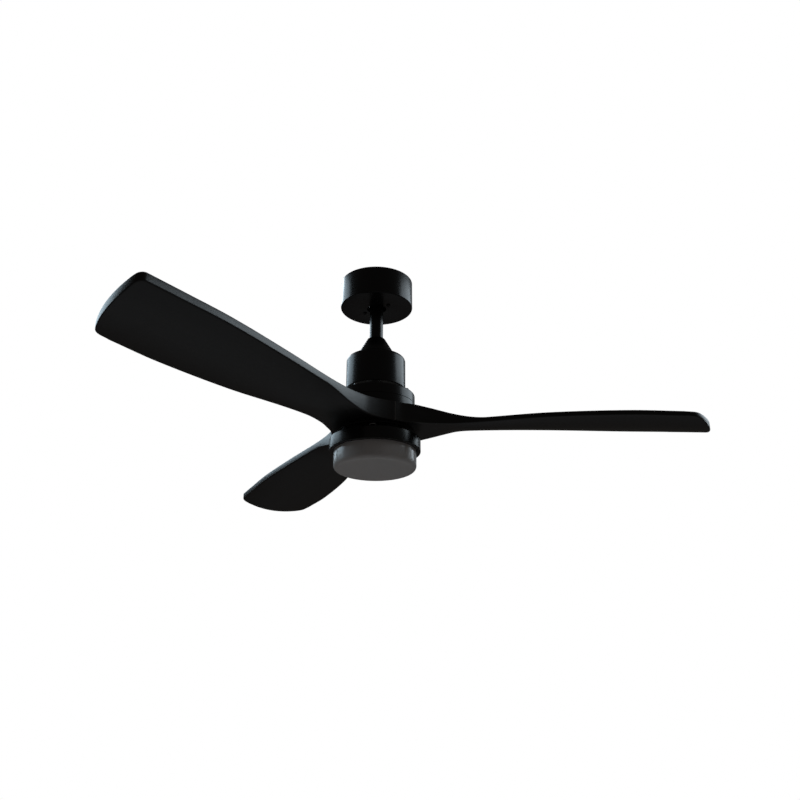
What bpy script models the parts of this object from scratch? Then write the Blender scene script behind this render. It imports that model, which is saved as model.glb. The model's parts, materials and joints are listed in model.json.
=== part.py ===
"""Ceiling fan with three carved wooden blades and a round light, hanging from a ball-jointed downrod.

Metres, +Z up. The origin is the centre of the ceiling plate's top face, on the ceiling, and the fan
hangs below it. Blade 1 points along +X. Everything that turns does so about the Z axis.
"""

import math

import bmesh
import bpy
from mathutils import Matrix, Vector

mm = 0.001
GAP = 0.3 * mm  # left between pieces that touch

# ---- driving dimensions -------------------------------------------------------------------------
SWEEP_RADIUS = 660 * mm  # 52 inch fan
BLADE_COUNT = 3

CANOPY_RADIUS = 74.5 * mm
CANOPY_TOP = -1 * mm
CANOPY_BOTTOM = -60 * mm
CANOPY_WALL = 1.5 * mm
CANOPY_HOLE = 20 * mm
CANOPY_SCREW_RADIUS = 30 * mm  # distance of each canopy screw from the axis
BRACKET_TURN = math.radians(-32)  # the bracket's long direction, seen from above

PLATE_BOTTOM = -2.5 * mm
FOOT_TOP = PLATE_BOTTOM - GAP
STUD_X = 47 * mm  # the plate's two studs, along the bracket
SHEET = 2.5 * mm  # the bracket's steel
BRACKET_HALF_WIDTH = 26 * mm
LEG_INNER = 33 * mm
SEAT_TOP = -49 * mm
SEAT_HOLE = 20.3 * mm

ROD_RADIUS = 13.8 * mm
ROD_BORE = 11.2 * mm
ROD_TOP = -10 * mm
ROD_BOTTOM = -166 * mm

BALL_RADIUS = 24 * mm
BALL_CENTRE = -32.15 * mm
LINER_INNER = 24.4 * mm
LINER_OUTER = 26 * mm
PIN_Z = -21 * mm  # the pin across the ball
PIN_RADIUS = 3 * mm

YOKE_RADIUS = 18.5 * mm
YOKE_TOP = -146 * mm
YOKE_BOTTOM = -186 * mm
YOKE_SET_Z = -160 * mm
CLEVIS_Z = -156 * mm
CLEVIS_RADIUS = 3.2 * mm

COVER_TOP = -131 * mm
COVER_BOTTOM = -174.6 * mm
COVER_TOP_RADIUS = 17.5 * mm
COVER_BOTTOM_RADIUS = 42 * mm
COVER_WALL = 1.5 * mm

HOUSING_RADIUS = 59.7 * mm
HOUSING_TOP = -175 * mm
HOUSING_BOTTOM = -244 * mm
HOUSING_WALL = 1.6 * mm
HOUSING_ROUND = 8 * mm
BASE_TOP = HOUSING_BOTTOM + 2.4 * mm
BOARD_TOP = -222 * mm

SHAFT_RADIUS = 10 * mm
SHAFT_BORE = 6.5 * mm

ROTOR_RADIUS = 78.4 * mm
ROTOR_TOP = -257 * mm
ROTOR_SEAM = -277 * mm
ROTOR_BOTTOM = -296.6 * mm
ROTOR_WALL = 3 * mm
BEARING_OUTER = 21 * mm
BEARING_WIDTH = 12 * mm
UPPER_BEARING_TOP = -260 * mm
LOWER_BEARING_TOP = -281.6 * mm
CORE_TOP = -266 * mm
CORE_BOTTOM = -288 * mm
TOOTH_COUNT = 12

ROOT_TOP = -297 * mm  # the blades' root block
ROOT_BOTTOM = -335 * mm
ROOT_BORE = 34 * mm
BLADE_SCREW_RADIUS = 63 * mm  # distance of each blade screw from the axis

CLAMP_RADIUS = 76.5 * mm
CLAMP_TOP = ROOT_BOTTOM - GAP
CLAMP_BOTTOM = CLAMP_TOP - 2.5 * mm

PAN_RADIUS = 89.4 * mm
PAN_TOP = -349.6 * mm
PAN_BOTTOM = -375 * mm
PAN_WALL = 2 * mm
PAN_CEILING = PAN_TOP - PAN_WALL
LIP_INNER = 81.9 * mm
LIP_TOP = PAN_BOTTOM + 2 * mm
LUG_ANGLES = (90, 210, 330)
FLANGE_RADIUS = 30 * mm
FLANGE_BOTTOM = PAN_TOP + GAP
LED_TOP = -366 * mm

DIFFUSER_RADIUS = 81 * mm
DIFFUSER_RIM = -362 * mm
DIFFUSER_BOTTOM = -411 * mm
DIFFUSER_WALL = 2.2 * mm
DIFFUSER_ROUND = 8 * mm

ROUND = 36  # segments of the large turned pieces
SMALL_ROUND = 18  # segments of rods, pins and bearings
TINY_ROUND = 8  # segments of screws

# The blade's plan: distance along the blade, then how far its leading and trailing sides are from
# its centre line, in millimetres.
BLADE_PLAN = [
    (43.5, 75.0, 75.0),
    (57, 66.0, 67.3),
    (78, 55.5, 60.8),
    (105, 46.5, 53.5),
    (150, 40.8, 50.0),
    (213, 42.5, 58.5),
    (330, 52.3, 82.0),
    (479, 62.2, 94.2),
    (580, 62.6, 90.6),
]
# The tip's end is a bowed, slanted curve: its distance along the blade is reach + slant y - bow y y,
# in millimetres, and its two corners are rounded.
TIP_REACH = 651.5
TIP_SLANT = 0.265
TIP_BOW = 0.0028
TIP_LEAD = 62.5  # how far the leading corner is from the centre line, before rounding
TIP_TRAIL = -87.0
TIP_LEAD_RADIUS = 12.0
TIP_TRAIL_RADIUS = 30.0
LEAD_CARVE = 23.2 * mm  # carved from below the leading side of the board
TRAIL_CARVE = 28 * mm  # carved from above its trailing side
CARVE_END = 218 * mm  # both are at full depth from here outwards
BELLY = 10.5 * mm  # how far the lower face hangs below a straight line between its sides
HOLLOW = 6 * mm  # how far the upper face is carved below such a line
BLADE_DROOP = 9 * mm  # how far the tip hangs below the root
BLADE_EDGE = 2.5 * mm  # rounding of the long edges


# ---- materials ----------------------------------------------------------------------------------
def material(name, color, roughness, metallic=0.0):
    made = bpy.data.materials.new(name)
    made.use_nodes = True
    shader = made.node_tree.nodes["Principled BSDF"]
    shader.inputs["Base Color"].default_value = (*color, 1)
    shader.inputs["Roughness"].default_value = roughness
    shader.inputs["Metallic"].default_value = metallic
    return made


# ---- shape helpers ------------------------------------------------------------------------------
def finish_mesh(name, bm, look):
    """Turns a bmesh into a named object with smooth round faces and crisp corners."""
    bmesh.ops.remove_doubles(bm, verts=bm.verts, dist=1e-6)
    bmesh.ops.recalc_face_normals(bm, faces=bm.faces)
    mesh = bpy.data.meshes.new(name)
    bm.to_mesh(mesh)
    bm.free()
    mesh.shade_smooth()
    mesh.set_sharp_from_angle(angle=math.radians(35))
    made = bpy.data.objects.new(name, mesh)
    bpy.context.scene.collection.objects.link(made)
    if look:
        mesh.materials.append(look)
    return made


def turned(name, profile, look, segments=ROUND, closed=True):
    """A turned piece. The profile is (radius, z) points: a loop, or from axis to axis if not closed."""
    bm = bmesh.new()
    points = [bm.verts.new((radius, 0, z)) for radius, z in profile]
    edges = [bm.edges.new(pair) for pair in zip(points, points[1:])]
    if closed:
        edges.append(bm.edges.new((points[-1], points[0])))
    bmesh.ops.spin(
        bm, geom=points + edges, axis=(0, 0, 1), cent=(0, 0, 0), angle=math.tau, steps=segments
    )
    return finish_mesh(name, bm, look)


def prism(name, outline, bottom, top, look):
    """A flat plate: the (x, y) outline extruded from one height to another."""
    bm = bmesh.new()
    face = bm.faces.new([bm.verts.new((x, y, bottom)) for x, y in outline])
    raised = bmesh.ops.extrude_face_region(bm, geom=[face])["geom"]
    bmesh.ops.translate(
        bm, verts=[v for v in raised if isinstance(v, bmesh.types.BMVert)], vec=(0, 0, top - bottom)
    )
    return finish_mesh(name, bm, look)


def arc(centre_x, centre_y, radius, start, end, steps):
    """Points along an arc, both ends included. Angles are in degrees."""
    turns = [math.radians(start + (end - start) * i / steps) for i in range(steps + 1)]
    return [(centre_x + radius * math.cos(t), centre_y + radius * math.sin(t)) for t in turns]


def rounded_rectangle(length, width, corner, steps=3):
    x, y = length / 2 - corner, width / 2 - corner
    corners = ((x, y, 0), (-x, y, 90), (-x, -y, 180), (x, -y, 270))
    return [p for cx, cy, a in corners for p in arc(cx, cy, corner, a, a + 90, steps)]


def slot_outline(centre_x, centre_y, length, width, steps=4):
    """A slot with round ends along X."""
    reach = (length - width) / 2
    right = arc(centre_x + reach, centre_y, width / 2, -90, 90, steps)
    return right + arc(centre_x - reach, centre_y, width / 2, 90, 270, steps)


def circle(centre_x, centre_y, radius, steps):
    return arc(centre_x, centre_y, radius, 0, 360, steps)[:-1]


def bar(name, radius, start, end, look, segments=TINY_ROUND):
    """A round bar from one point to another."""
    start, end = Vector(start), Vector(end)
    along = end - start
    bm = bmesh.new()
    bmesh.ops.create_cone(
        bm, cap_ends=True, segments=segments, radius1=radius, radius2=radius, depth=along.length
    )
    turn = Vector((0, 0, 1)).rotation_difference(along).to_matrix().to_4x4()
    bm.transform(Matrix.Translation((start + end) / 2) @ turn)
    return finish_mesh(name, bm, look)


def block(name, low, high, look, turn=0.0):
    """A box between two corners, turned about the Z axis."""
    low, high = Vector(low), Vector(high)
    bm = bmesh.new()
    bmesh.ops.create_cube(bm, size=1)
    bm.transform(Matrix.Translation((low + high) / 2) @ Matrix.Diagonal((*(high - low), 1)))
    bm.transform(Matrix.Rotation(turn, 4, "Z"))
    return finish_mesh(name, bm, look)


def helper(made):
    """Keeps a cutter or a joined piece out of the model."""
    made.hide_render = True
    made.display_type = "WIRE"
    return made


def combine(target, tools, operation):
    """Adds one Boolean for each tool, and turns the result into the target's own mesh."""
    for tool in tools:
        helper(tool)
        step = target.modifiers.new(operation.title(), "BOOLEAN")
        step.operation = operation
        step.object = tool
        step.solver = "EXACT"
    bpy.context.view_layer.update()
    evaluated = target.evaluated_get(bpy.context.evaluated_depsgraph_get())
    mesh = bpy.data.meshes.new_from_object(evaluated)
    target.modifiers.clear()
    target.data = mesh
    for tool in tools:
        bpy.data.objects.remove(tool)
    return target


def cut(target, *tools):
    return combine(target, tools, "DIFFERENCE")


def join(target, *tools):
    return combine(target, tools, "UNION")


def polar(radius, angle, z):
    return (radius * math.cos(angle), radius * math.sin(angle), z)


def turn_about_z(made, angle):
    made.data.transform(Matrix.Rotation(angle, 4, "Z"))
    return made


def ride(empty, *pieces):
    """Parents pieces to the empty on their joint's axis, without moving them."""
    bpy.context.view_layer.update()
    for piece in pieces:
        piece.parent = empty
        piece.matrix_parent_inverse = empty.matrix_world.inverted()


def joint_empty(name, z):
    made = bpy.data.objects.new(name, None)
    made.location = (0, 0, z)
    bpy.context.scene.collection.objects.link(made)
    return made


def screw_below(name, x, y, face, length, shank, head, head_height, look):
    """A screw whose head sits under a face and whose shank points up."""
    top = face - GAP
    profile = [
        (0, top - head_height),
        (head * 0.75, top - head_height),
        (head, top - head_height * 0.55),
        (head, top),
        (shank, top),
        (shank, top + length - shank * 0.5),
        (shank * 0.6, top + length),
        (0, top + length),
    ]
    made = turned(name, profile, look, segments=TINY_ROUND, closed=False)
    made.data.transform(Matrix.Translation((x, y, 0)))
    return made


# ---- ceiling plate and hanger bracket (built along X, then turned to the bracket's direction) ----
def make_ceiling_plate(steel):
    plate = prism(
        "ceiling_plate", rounded_rectangle(124 * mm, 62 * mm, 8 * mm), PLATE_BOTTOM, 0, steel
    )
    over, under = 1 * mm, PLATE_BOTTOM - 1 * mm
    holes = [
        prism("slot", slot_outline(side * 22 * mm, 0, 18 * mm, 6 * mm), under, over, None)
        for side in (-1, 1)
    ]
    holes.append(prism("wire_hole", circle(0, -18 * mm, 6.5 * mm, 16), under, over, None))
    cut(plate, *holes)
    studs = [
        bar("stud", 2.5 * mm, (side * STUD_X, 0, -12 * mm), (side * STUD_X, 0, -1 * mm), None)
        for side in (-1, 1)
    ]
    join(plate, *studs)
    return turn_about_z(plate, BRACKET_TURN)


def make_hanger_bracket(steel):
    """A folded strap: two feet, two legs and a seat for the ball, open on one side for the rod."""
    foot_end = 58 * mm
    seat_bottom = SEAT_TOP - SHEET
    leg_outer = LEG_INNER + SHEET
    outline = [
        (foot_end, FOOT_TOP),
        (LEG_INNER, FOOT_TOP),
        (LEG_INNER, SEAT_TOP),
        (-LEG_INNER, SEAT_TOP),
        (-LEG_INNER, FOOT_TOP),
        (-foot_end, FOOT_TOP),
        (-foot_end, FOOT_TOP - SHEET),
        (-leg_outer, FOOT_TOP - SHEET),
        (-leg_outer, seat_bottom),
        (leg_outer, seat_bottom),
        (leg_outer, FOOT_TOP - SHEET),
        (foot_end, FOOT_TOP - SHEET),
    ]
    bracket = prism("hanger_bracket", outline, -BRACKET_HALF_WIDTH, BRACKET_HALF_WIDTH, steel)
    bracket.data.transform(Matrix.Rotation(math.radians(90), 4, "X"))
    through = (seat_bottom - 1 * mm, SEAT_TOP + 1 * mm)
    tools = [
        prism("seat", circle(0, 0, SEAT_HOLE, 24), *through, None),
        block(
            "mouth",
            (-15 * mm, -BRACKET_HALF_WIDTH - 1 * mm, through[0]),
            (15 * mm, 0, through[1]),
            None,
        ),
    ]
    for side in (-1, 1):
        x = side * CANOPY_SCREW_RADIUS
        tools.append(prism("tapped_hole", circle(x, 0, 2.4 * mm, 12), *through, None))
        x = side * STUD_X
        foot = (FOOT_TOP - SHEET - 1 * mm, FOOT_TOP + 1 * mm)
        tools.append(prism("stud_hole", circle(x, 0, 3 * mm, 12), *foot, None))
    cut(bracket, *tools)
    # The key that stands in the ball's groove and stops the rod from turning.
    key = prism(
        "key",
        [
            (21.8 * mm, BALL_CENTRE + 5 * mm),
            (21.8 * mm, BALL_CENTRE + 2.5 * mm),
            (27.8 * mm, BALL_CENTRE + 2.5 * mm),
            (27.8 * mm, SEAT_TOP - 1 * mm),
            (30.3 * mm, SEAT_TOP - 1 * mm),
            (30.3 * mm, BALL_CENTRE + 5 * mm),
        ],
        -2 * mm,
        2 * mm,
        None,
    )
    key.data.transform(Matrix.Rotation(math.radians(90), 4, "X"))
    key.data.transform(Matrix.Rotation(math.radians(90), 4, "Z"))
    tongue = block(
        "tongue",
        (-6 * mm, 20.8 * mm, seat_bottom),
        (6 * mm, 30.3 * mm, SEAT_TOP),
        None,
    )
    join(bracket, tongue, key)
    return turn_about_z(bracket, BRACKET_TURN)


def make_bracket_nut(name, side, steel):
    """A hexagonal nut under a foot of the bracket."""
    top = FOOT_TOP - SHEET - GAP
    nut = prism(name, circle(side * STUD_X, 0, 4.6 * mm, 6), top - 4 * mm, top, steel)
    cut(nut, bar("bore", 2.9 * mm, (side * STUD_X, 0, top - 5 * mm), (side * STUD_X, 0, top + 1 * mm), None))
    return turn_about_z(nut, BRACKET_TURN)


def make_terminal_block(plastic):
    """The mains terminal block under the ceiling plate, with three wire ways and their screws."""
    low, high = (-13 * mm, 18 * mm, -14.8 * mm), (13 * mm, 30.5 * mm, PLATE_BOTTOM - GAP)
    terminal = block("terminal_block", low, high, plastic)
    tools = []
    for i in (-1, 0, 1):
        x = i * 8 * mm
        tools.append(bar("wire_way", 1.8 * mm, (x, 17 * mm, -6.5 * mm), (x, 27 * mm, -6.5 * mm), None, 8))
        tools.append(bar("screw_way", 1.6 * mm, (x, 24 * mm, -16 * mm), (x, 24 * mm, -7 * mm), None, 8))
    cut(terminal, *tools)
    return turn_about_z(terminal, BRACKET_TURN)


# ---- canopy -------------------------------------------------------------------------------------
def make_canopy(paint):
    inner = CANOPY_RADIUS - CANOPY_WALL
    floor = CANOPY_BOTTOM + CANOPY_WALL
    edge = 2.5 * mm
    outside = arc(CANOPY_RADIUS - edge, CANOPY_BOTTOM + edge, edge, -90, 0, 3)
    profile = [(CANOPY_HOLE, CANOPY_BOTTOM), *outside, (CANOPY_RADIUS, CANOPY_TOP)]
    profile += [(inner, CANOPY_TOP), (inner, floor), (CANOPY_HOLE, floor)]
    canopy = turned("canopy", profile, paint)
    tools = []
    for side in (-1, 1):
        x, y, _ = polar(side * CANOPY_SCREW_RADIUS, BRACKET_TURN, 0)
        tools.append(
            bar("hole", 2.4 * mm, (x, y, CANOPY_BOTTOM - 1 * mm), (x, y, floor + 1 * mm), None)
        )
    return cut(canopy, *tools)


def make_canopy_screw(name, side, steel):
    x, y, _ = polar(side * CANOPY_SCREW_RADIUS, BRACKET_TURN, 0)
    return screw_below(name, x, y, CANOPY_BOTTOM, 14 * mm, 2 * mm, 4 * mm, 2.4 * mm, steel)


# ---- ball joint and downrod ---------------------------------------------------------------------
def sphere_arc(radius, low, high, steps):
    """(radius, z) points on the ball's sphere between two heights above its centre, bottom to top."""
    start, end = math.asin(low / radius), math.asin(high / radius)
    turns = [start + (end - start) * i / steps for i in range(steps + 1)]
    return [(radius * math.cos(t), BALL_CENTRE + radius * math.sin(t)) for t in turns]


def make_liner(nylon):
    outer = sphere_arc(LINER_OUTER, -18.6 * mm, -7 * mm, 2)
    inner = sphere_arc(LINER_INNER, -18.6 * mm, -7 * mm, 2)
    return turned("ball_seat_liner", outer + inner[::-1], nylon, segments=24)


def make_hanger_ball(nylon):
    bore = ROD_RADIUS + GAP
    outside = sphere_arc(BALL_RADIUS, -18.2 * mm, 15 * mm, 5)
    profile = [(bore, outside[0][1]), *outside, (bore, outside[-1][1])]
    ball = turned("hanger_ball", profile, nylon, segments=24)
    groove_floor = PIN_Z - PIN_RADIUS - GAP
    top = BALL_CENTRE + 16 * mm
    tools = [
        block(
            "pin_groove",
            (-30 * mm, -PIN_RADIUS - GAP, groove_floor),
            (30 * mm, PIN_RADIUS + GAP, top),
            None,
            BRACKET_TURN,
        ),
        block(
            "key_groove",
            (-3.2 * mm, 20.8 * mm, BALL_CENTRE - 19 * mm),
            (3.2 * mm, 30 * mm, top),
            None,
            BRACKET_TURN,
        ),
        bar(
            "set_screw_way",
            2.8 * mm,
            polar(12 * mm, BRACKET_TURN - math.pi / 2, BALL_CENTRE),
            polar(30 * mm, BRACKET_TURN - math.pi / 2, BALL_CENTRE),
            None,
        ),
    ]
    return cut(ball, *tools)


def make_downrod(paint):
    profile = [
        (ROD_BORE, ROD_BOTTOM),
        (ROD_RADIUS, ROD_BOTTOM),
        (ROD_RADIUS, ROD_TOP),
        (ROD_BORE, ROD_TOP),
    ]
    rod = turned("downrod", profile, paint, segments=24)
    reach = ROD_RADIUS + 2 * mm
    tools = [
        bar(
            "top_hole",
            PIN_RADIUS + GAP,
            polar(-reach, BRACKET_TURN, PIN_Z),
            polar(reach, BRACKET_TURN, PIN_Z),
            None,
        ),
        bar(
            "bottom_hole", CLEVIS_RADIUS + GAP, (-reach, 0, CLEVIS_Z), (reach, 0, CLEVIS_Z), None
        ),
    ]
    return cut(rod, *tools)


def make_yoke(steel):
    """The collar that joins the downrod to the motor's shaft."""
    upper = ROD_RADIUS + GAP
    lower = SHAFT_RADIUS + GAP
    step = ROD_BOTTOM - GAP
    profile = [
        (lower, YOKE_BOTTOM),
        (YOKE_RADIUS, YOKE_BOTTOM),
        (YOKE_RADIUS, YOKE_TOP - 1 * mm),
        (YOKE_RADIUS - 1 * mm, YOKE_TOP),
        (upper, YOKE_TOP),
        (upper, step),
        (lower, step),
    ]
    yoke = turned("motor_yoke", profile, steel, segments=24)
    reach = YOKE_RADIUS + 2 * mm
    tools = [
        bar("pin_way", CLEVIS_RADIUS + GAP, (-reach, 0, CLEVIS_Z), (reach, 0, CLEVIS_Z), None)
    ]
    for side in (-1, 1):
        tools.append(
            bar("set_way", 2.8 * mm, (0, side * 12 * mm, YOKE_SET_Z), (0, side * reach, YOKE_SET_Z), None)
        )
    return cut(yoke, *tools)


def make_clevis_pin(steel):
    """The pin through the yoke and the downrod, with a flat head and a cross hole for its clip."""
    head = 21.9 * mm
    pin = bar("clevis_pin", CLEVIS_RADIUS, (-head, 0, CLEVIS_Z), (24.4 * mm, 0, CLEVIS_Z), steel)
    cap = bar("cap", 4.5 * mm, (-head - 2 * mm, 0, CLEVIS_Z), (-head + 0.5 * mm, 0, CLEVIS_Z), None)
    join(pin, cap)
    hole = bar("clip_hole", 1.1 * mm, (22 * mm, 0, CLEVIS_Z - 5 * mm), (22 * mm, 0, CLEVIS_Z + 5 * mm), None)
    return cut(pin, hole)


def make_clip(steel):
    """The spring clip: one straight leg through the pin and one bowed leg beside it."""
    route = [(22, 5.5), (22, 2), (22, -2), (22, -6), (22.6, -8.2), (24.2, -9.2), (25.8, -8.2)]
    route += [(26.4, -6), (26.2, -4.5)]
    curve = bpy.data.curves.new("retaining_clip", "CURVE")
    curve.dimensions = "3D"
    curve.bevel_depth = 0.75 * mm
    curve.bevel_resolution = 1
    curve.use_fill_caps = True
    line = curve.splines.new("POLY")
    line.points.add(len(route) - 1)
    for point, (x, z) in zip(line.points, route):
        point.co = (x * mm, 0, CLEVIS_Z + z * mm, 1)
    curve.materials.append(steel)
    clip = bpy.data.objects.new("retaining_clip", curve)
    bpy.context.scene.collection.objects.link(clip)
    return clip


def make_coupling_cover(paint):
    """The cone that slides on the rod and hides the yoke."""
    bore = ROD_RADIUS + 0.5 * mm
    slope = COVER_BOTTOM_RADIUS - COVER_TOP_RADIUS
    edge = 2 * mm
    profile = [
        (COVER_BOTTOM_RADIUS - COVER_WALL * 1.1, COVER_BOTTOM),
        (COVER_BOTTOM_RADIUS, COVER_BOTTOM),
        (COVER_BOTTOM_RADIUS, COVER_BOTTOM + 1.5 * mm),
        (COVER_TOP_RADIUS + slope * 0.06, COVER_TOP - edge),
        (COVER_TOP_RADIUS - 0.3 * mm, COVER_TOP - 0.5 * mm),
        (COVER_TOP_RADIUS - edge, COVER_TOP),
        (bore, COVER_TOP),
        (bore, COVER_TOP - 3.5 * mm),
        (COVER_TOP_RADIUS + slope * 0.06 - COVER_WALL, COVER_TOP - 4.5 * mm),
    ]
    return turned("coupling_cover", profile, paint, segments=36)


# ---- upper housing with the electronics ---------------------------------------------------------
def make_upper_housing(paint):
    inner = HOUSING_RADIUS - HOUSING_WALL
    ceiling = HOUSING_TOP - HOUSING_WALL
    hole = YOKE_RADIUS + 0.5 * mm
    outer_round = arc(HOUSING_RADIUS - HOUSING_ROUND, HOUSING_TOP - HOUSING_ROUND, HOUSING_ROUND, 0, 90, 3)
    inner_round = arc(
        HOUSING_RADIUS - HOUSING_ROUND,
        HOUSING_TOP - HOUSING_ROUND,
        HOUSING_ROUND - HOUSING_WALL,
        90,
        0,
        2,
    )
    profile = [(inner, HOUSING_BOTTOM), (HOUSING_RADIUS, HOUSING_BOTTOM), *outer_round]
    profile += [(hole, HOUSING_TOP), (hole, ceiling), *inner_round]
    return turned("upper_housing", profile, paint)


def make_housing_base(metal):
    rim = HOUSING_RADIUS - HOUSING_WALL - GAP
    bore = SHAFT_RADIUS + GAP
    profile = [
        (bore, HOUSING_BOTTOM + 0.4 * mm),
        (rim, HOUSING_BOTTOM + 0.4 * mm),
        (rim, BASE_TOP),
        (16 * mm, BASE_TOP),
        (16 * mm, BASE_TOP + 6 * mm),
        (bore, BASE_TOP + 6 * mm),
    ]
    return turned("housing_base", profile, metal)


def make_driver_board(green):
    """The motor's driver board, a ring round the shaft on four pillars, with its small parts."""
    inner, outer, under = 24 * mm, 53 * mm, BOARD_TOP - 1.6 * mm
    profile = [(inner, under), (outer, under), (outer, BOARD_TOP), (inner, BOARD_TOP)]
    board = turned("driver_board", profile, green, segments=24)
    parts = []
    for i in range(4):
        x, y, _ = polar(49 * mm, math.radians(45 + 90 * i), 0)
        parts.append(
            bar("pillar", 2.5 * mm, (x, y, BASE_TOP + GAP), (x, y, BOARD_TOP - 0.5 * mm), None, 8)
        )
    low = BOARD_TOP - 0.5 * mm
    parts.append(block("chip", (28 * mm, -6 * mm, low), (40 * mm, 6 * mm, low + 3 * mm), None))
    parts.append(block("connector", (-8 * mm, 40 * mm, low), (8 * mm, 48 * mm, low + 9 * mm), None))
    parts.append(block("heat_sink", (-46 * mm, -9 * mm, low), (-40 * mm, 9 * mm, low + 16 * mm), None))
    return join(board, *parts)


def make_capacitor(name, angle, metal):
    x, y, _ = polar(38 * mm, math.radians(angle), 0)
    base = BOARD_TOP + GAP
    return bar(name, 7.5 * mm, (x, y, base), (x, y, base + 22 * mm), metal, 16)


def make_receiver(plastic):
    """The remote control's receiver, standing on the board."""
    low = BOARD_TOP + GAP
    return block("remote_receiver", (-34 * mm, 14 * mm, low), (-16 * mm, 34 * mm, low + 12 * mm), plastic)


# ---- motor --------------------------------------------------------------------------------------
def make_shaft(steel):
    """The hollow shaft that carries the whole motor and the light, with a shoulder at each end."""
    top = ROD_BOTTOM - 1.5 * mm
    bottom = -362 * mm
    profile = [
        (SHAFT_BORE, bottom),
        (SHAFT_RADIUS, bottom),
        (SHAFT_RADIUS, top),
        (SHAFT_BORE, top),
    ]
    return turned("motor_shaft", profile, steel, segments=SMALL_ROUND)


def make_race(name, inner, outer, top, steel):
    bottom = top - BEARING_WIDTH
    return turned(
        name, [(inner, bottom), (outer, bottom), (outer, top), (inner, top)], steel, SMALL_ROUND
    )


def make_stator_core(steel):
    """The laminated core: a carrier on the shaft, a ring, and teeth with wide tips."""
    bore = SHAFT_RADIUS + GAP
    profile = [
        (bore, -280.5 * mm),
        (30 * mm, -280.5 * mm),
        (30 * mm, CORE_BOTTOM),
        (38 * mm, CORE_BOTTOM),
        (38 * mm, CORE_TOP),
        (30 * mm, CORE_TOP),
        (30 * mm, -273.5 * mm),
        (bore, -273.5 * mm),
    ]
    core = turned("stator_core", profile, steel, segments=SMALL_ROUND)
    outline = []
    step = 360 / TOOTH_COUNT
    half_tip, half_neck = 12.0, 5.0
    for i in range(TOOTH_COUNT):
        middle = i * step
        for radius, turn in (
            (36.5, -step / 2 + 0.5),
            (37, -half_neck * 1.6),
            (59.5, -half_neck),
            (60.5, -half_tip),
            (64, -half_tip),
            (64.4, 0),
            (64, half_tip),
            (60.5, half_tip),
            (59.5, half_neck),
            (37, half_neck * 1.6),
        ):
            x, y, _ = polar(radius * mm, math.radians(middle + turn), 0)
            outline.append((x, y))
    teeth = prism("teeth", outline, CORE_BOTTOM, CORE_TOP, None)
    low, high = CORE_BOTTOM - 1 * mm, CORE_TOP + 1 * mm
    cut(teeth, bar("inside", 33 * mm, (0, 0, low), (0, 0, high), None, SMALL_ROUND))
    return join(core, teeth)


def make_winding(copper):
    """The copper winding: a coil round each tooth, joined by the crossover wires above the core."""
    high, low = CORE_TOP + 3.5 * mm, CORE_BOTTOM - 3.5 * mm
    ring = [(39 * mm, CORE_TOP + 0.6 * mm), (43 * mm, CORE_TOP + 0.6 * mm), (43 * mm, high), (39 * mm, high)]
    winding = turned("stator_winding", ring, copper, segments=TOOTH_COUNT * 2)
    coils = []
    for i in range(TOOTH_COUNT):
        turn = math.tau * i / TOOTH_COUNT
        coil = block("coil", (41 * mm, -9.2 * mm, low), (57 * mm, 9.2 * mm, high), None)
        window = block(
            "window",
            (40 * mm, -6.6 * mm, CORE_BOTTOM - 0.5 * mm),
            (58 * mm, 6.6 * mm, CORE_TOP + 0.5 * mm),
            None,
        )
        cut(coil, window)
        coils.append(turn_about_z(coil, turn))
    return join(winding, *coils)


def make_rotor_shell(name, outer_face, seam, bearing_top, paint):
    """One of the rotor's two cups, with the bearing's seat in its middle.

    outer_face is the height of the closed end and seam the height of the open one.
    """
    up = 1 if outer_face > seam else -1
    inner = ROTOR_RADIUS - ROTOR_WALL
    seat = BEARING_OUTER + GAP
    boss = seat + 3.2 * mm
    ceiling = outer_face - up * ROTOR_WALL
    boss_end = (bearing_top - BEARING_WIDTH) if up > 0 else bearing_top
    edge = 2.5 * mm if up > 0 else 1 * mm
    profile = [
        (ROTOR_RADIUS, seam),
        (ROTOR_RADIUS, outer_face - up * edge),
        (ROTOR_RADIUS - edge * 0.3, outer_face - up * edge * 0.3),
        (ROTOR_RADIUS - edge, outer_face),
        (14 * mm, outer_face),
        (14 * mm, ceiling + up * GAP),
        (seat, ceiling + up * GAP),
        (seat, boss_end),
        (boss, boss_end),
        (boss, ceiling),
        (inner, ceiling),
        (inner, seam),
    ]
    shell = turned(name, profile, paint)
    if up > 0:
        return shell
    return cut(shell, *blade_screw_tools(3.3 * mm, outer_face - 1 * mm, ceiling + 1 * mm, TINY_ROUND))


def blade_screw_tools(radius, low, high, segments):
    """Round cutters at every blade screw's place."""
    tools = []
    for i in range(BLADE_COUNT * 2):
        x, y, _ = polar(BLADE_SCREW_RADIUS, math.radians(30 + 60 * i), 0)
        tools.append(bar("screw_way", radius, (x, y, low), (x, y, high), None, segments))
    return tools


def make_rotor_screw(name, angle, steel):
    """A pan-head screw standing on the rotor's top face."""
    x, y, _ = polar(72.5 * mm, angle, 0)
    face = ROTOR_TOP + GAP
    profile = [
        (0, face),
        (3.6 * mm, face),
        (3.6 * mm, face + 1.5 * mm),
        (2.6 * mm, face + 2.6 * mm),
        (0, face + 2.9 * mm),
    ]
    made = turned(name, profile, steel, segments=TINY_ROUND, closed=False)
    made.data.transform(Matrix.Translation((x, y, 0)))
    return made


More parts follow.
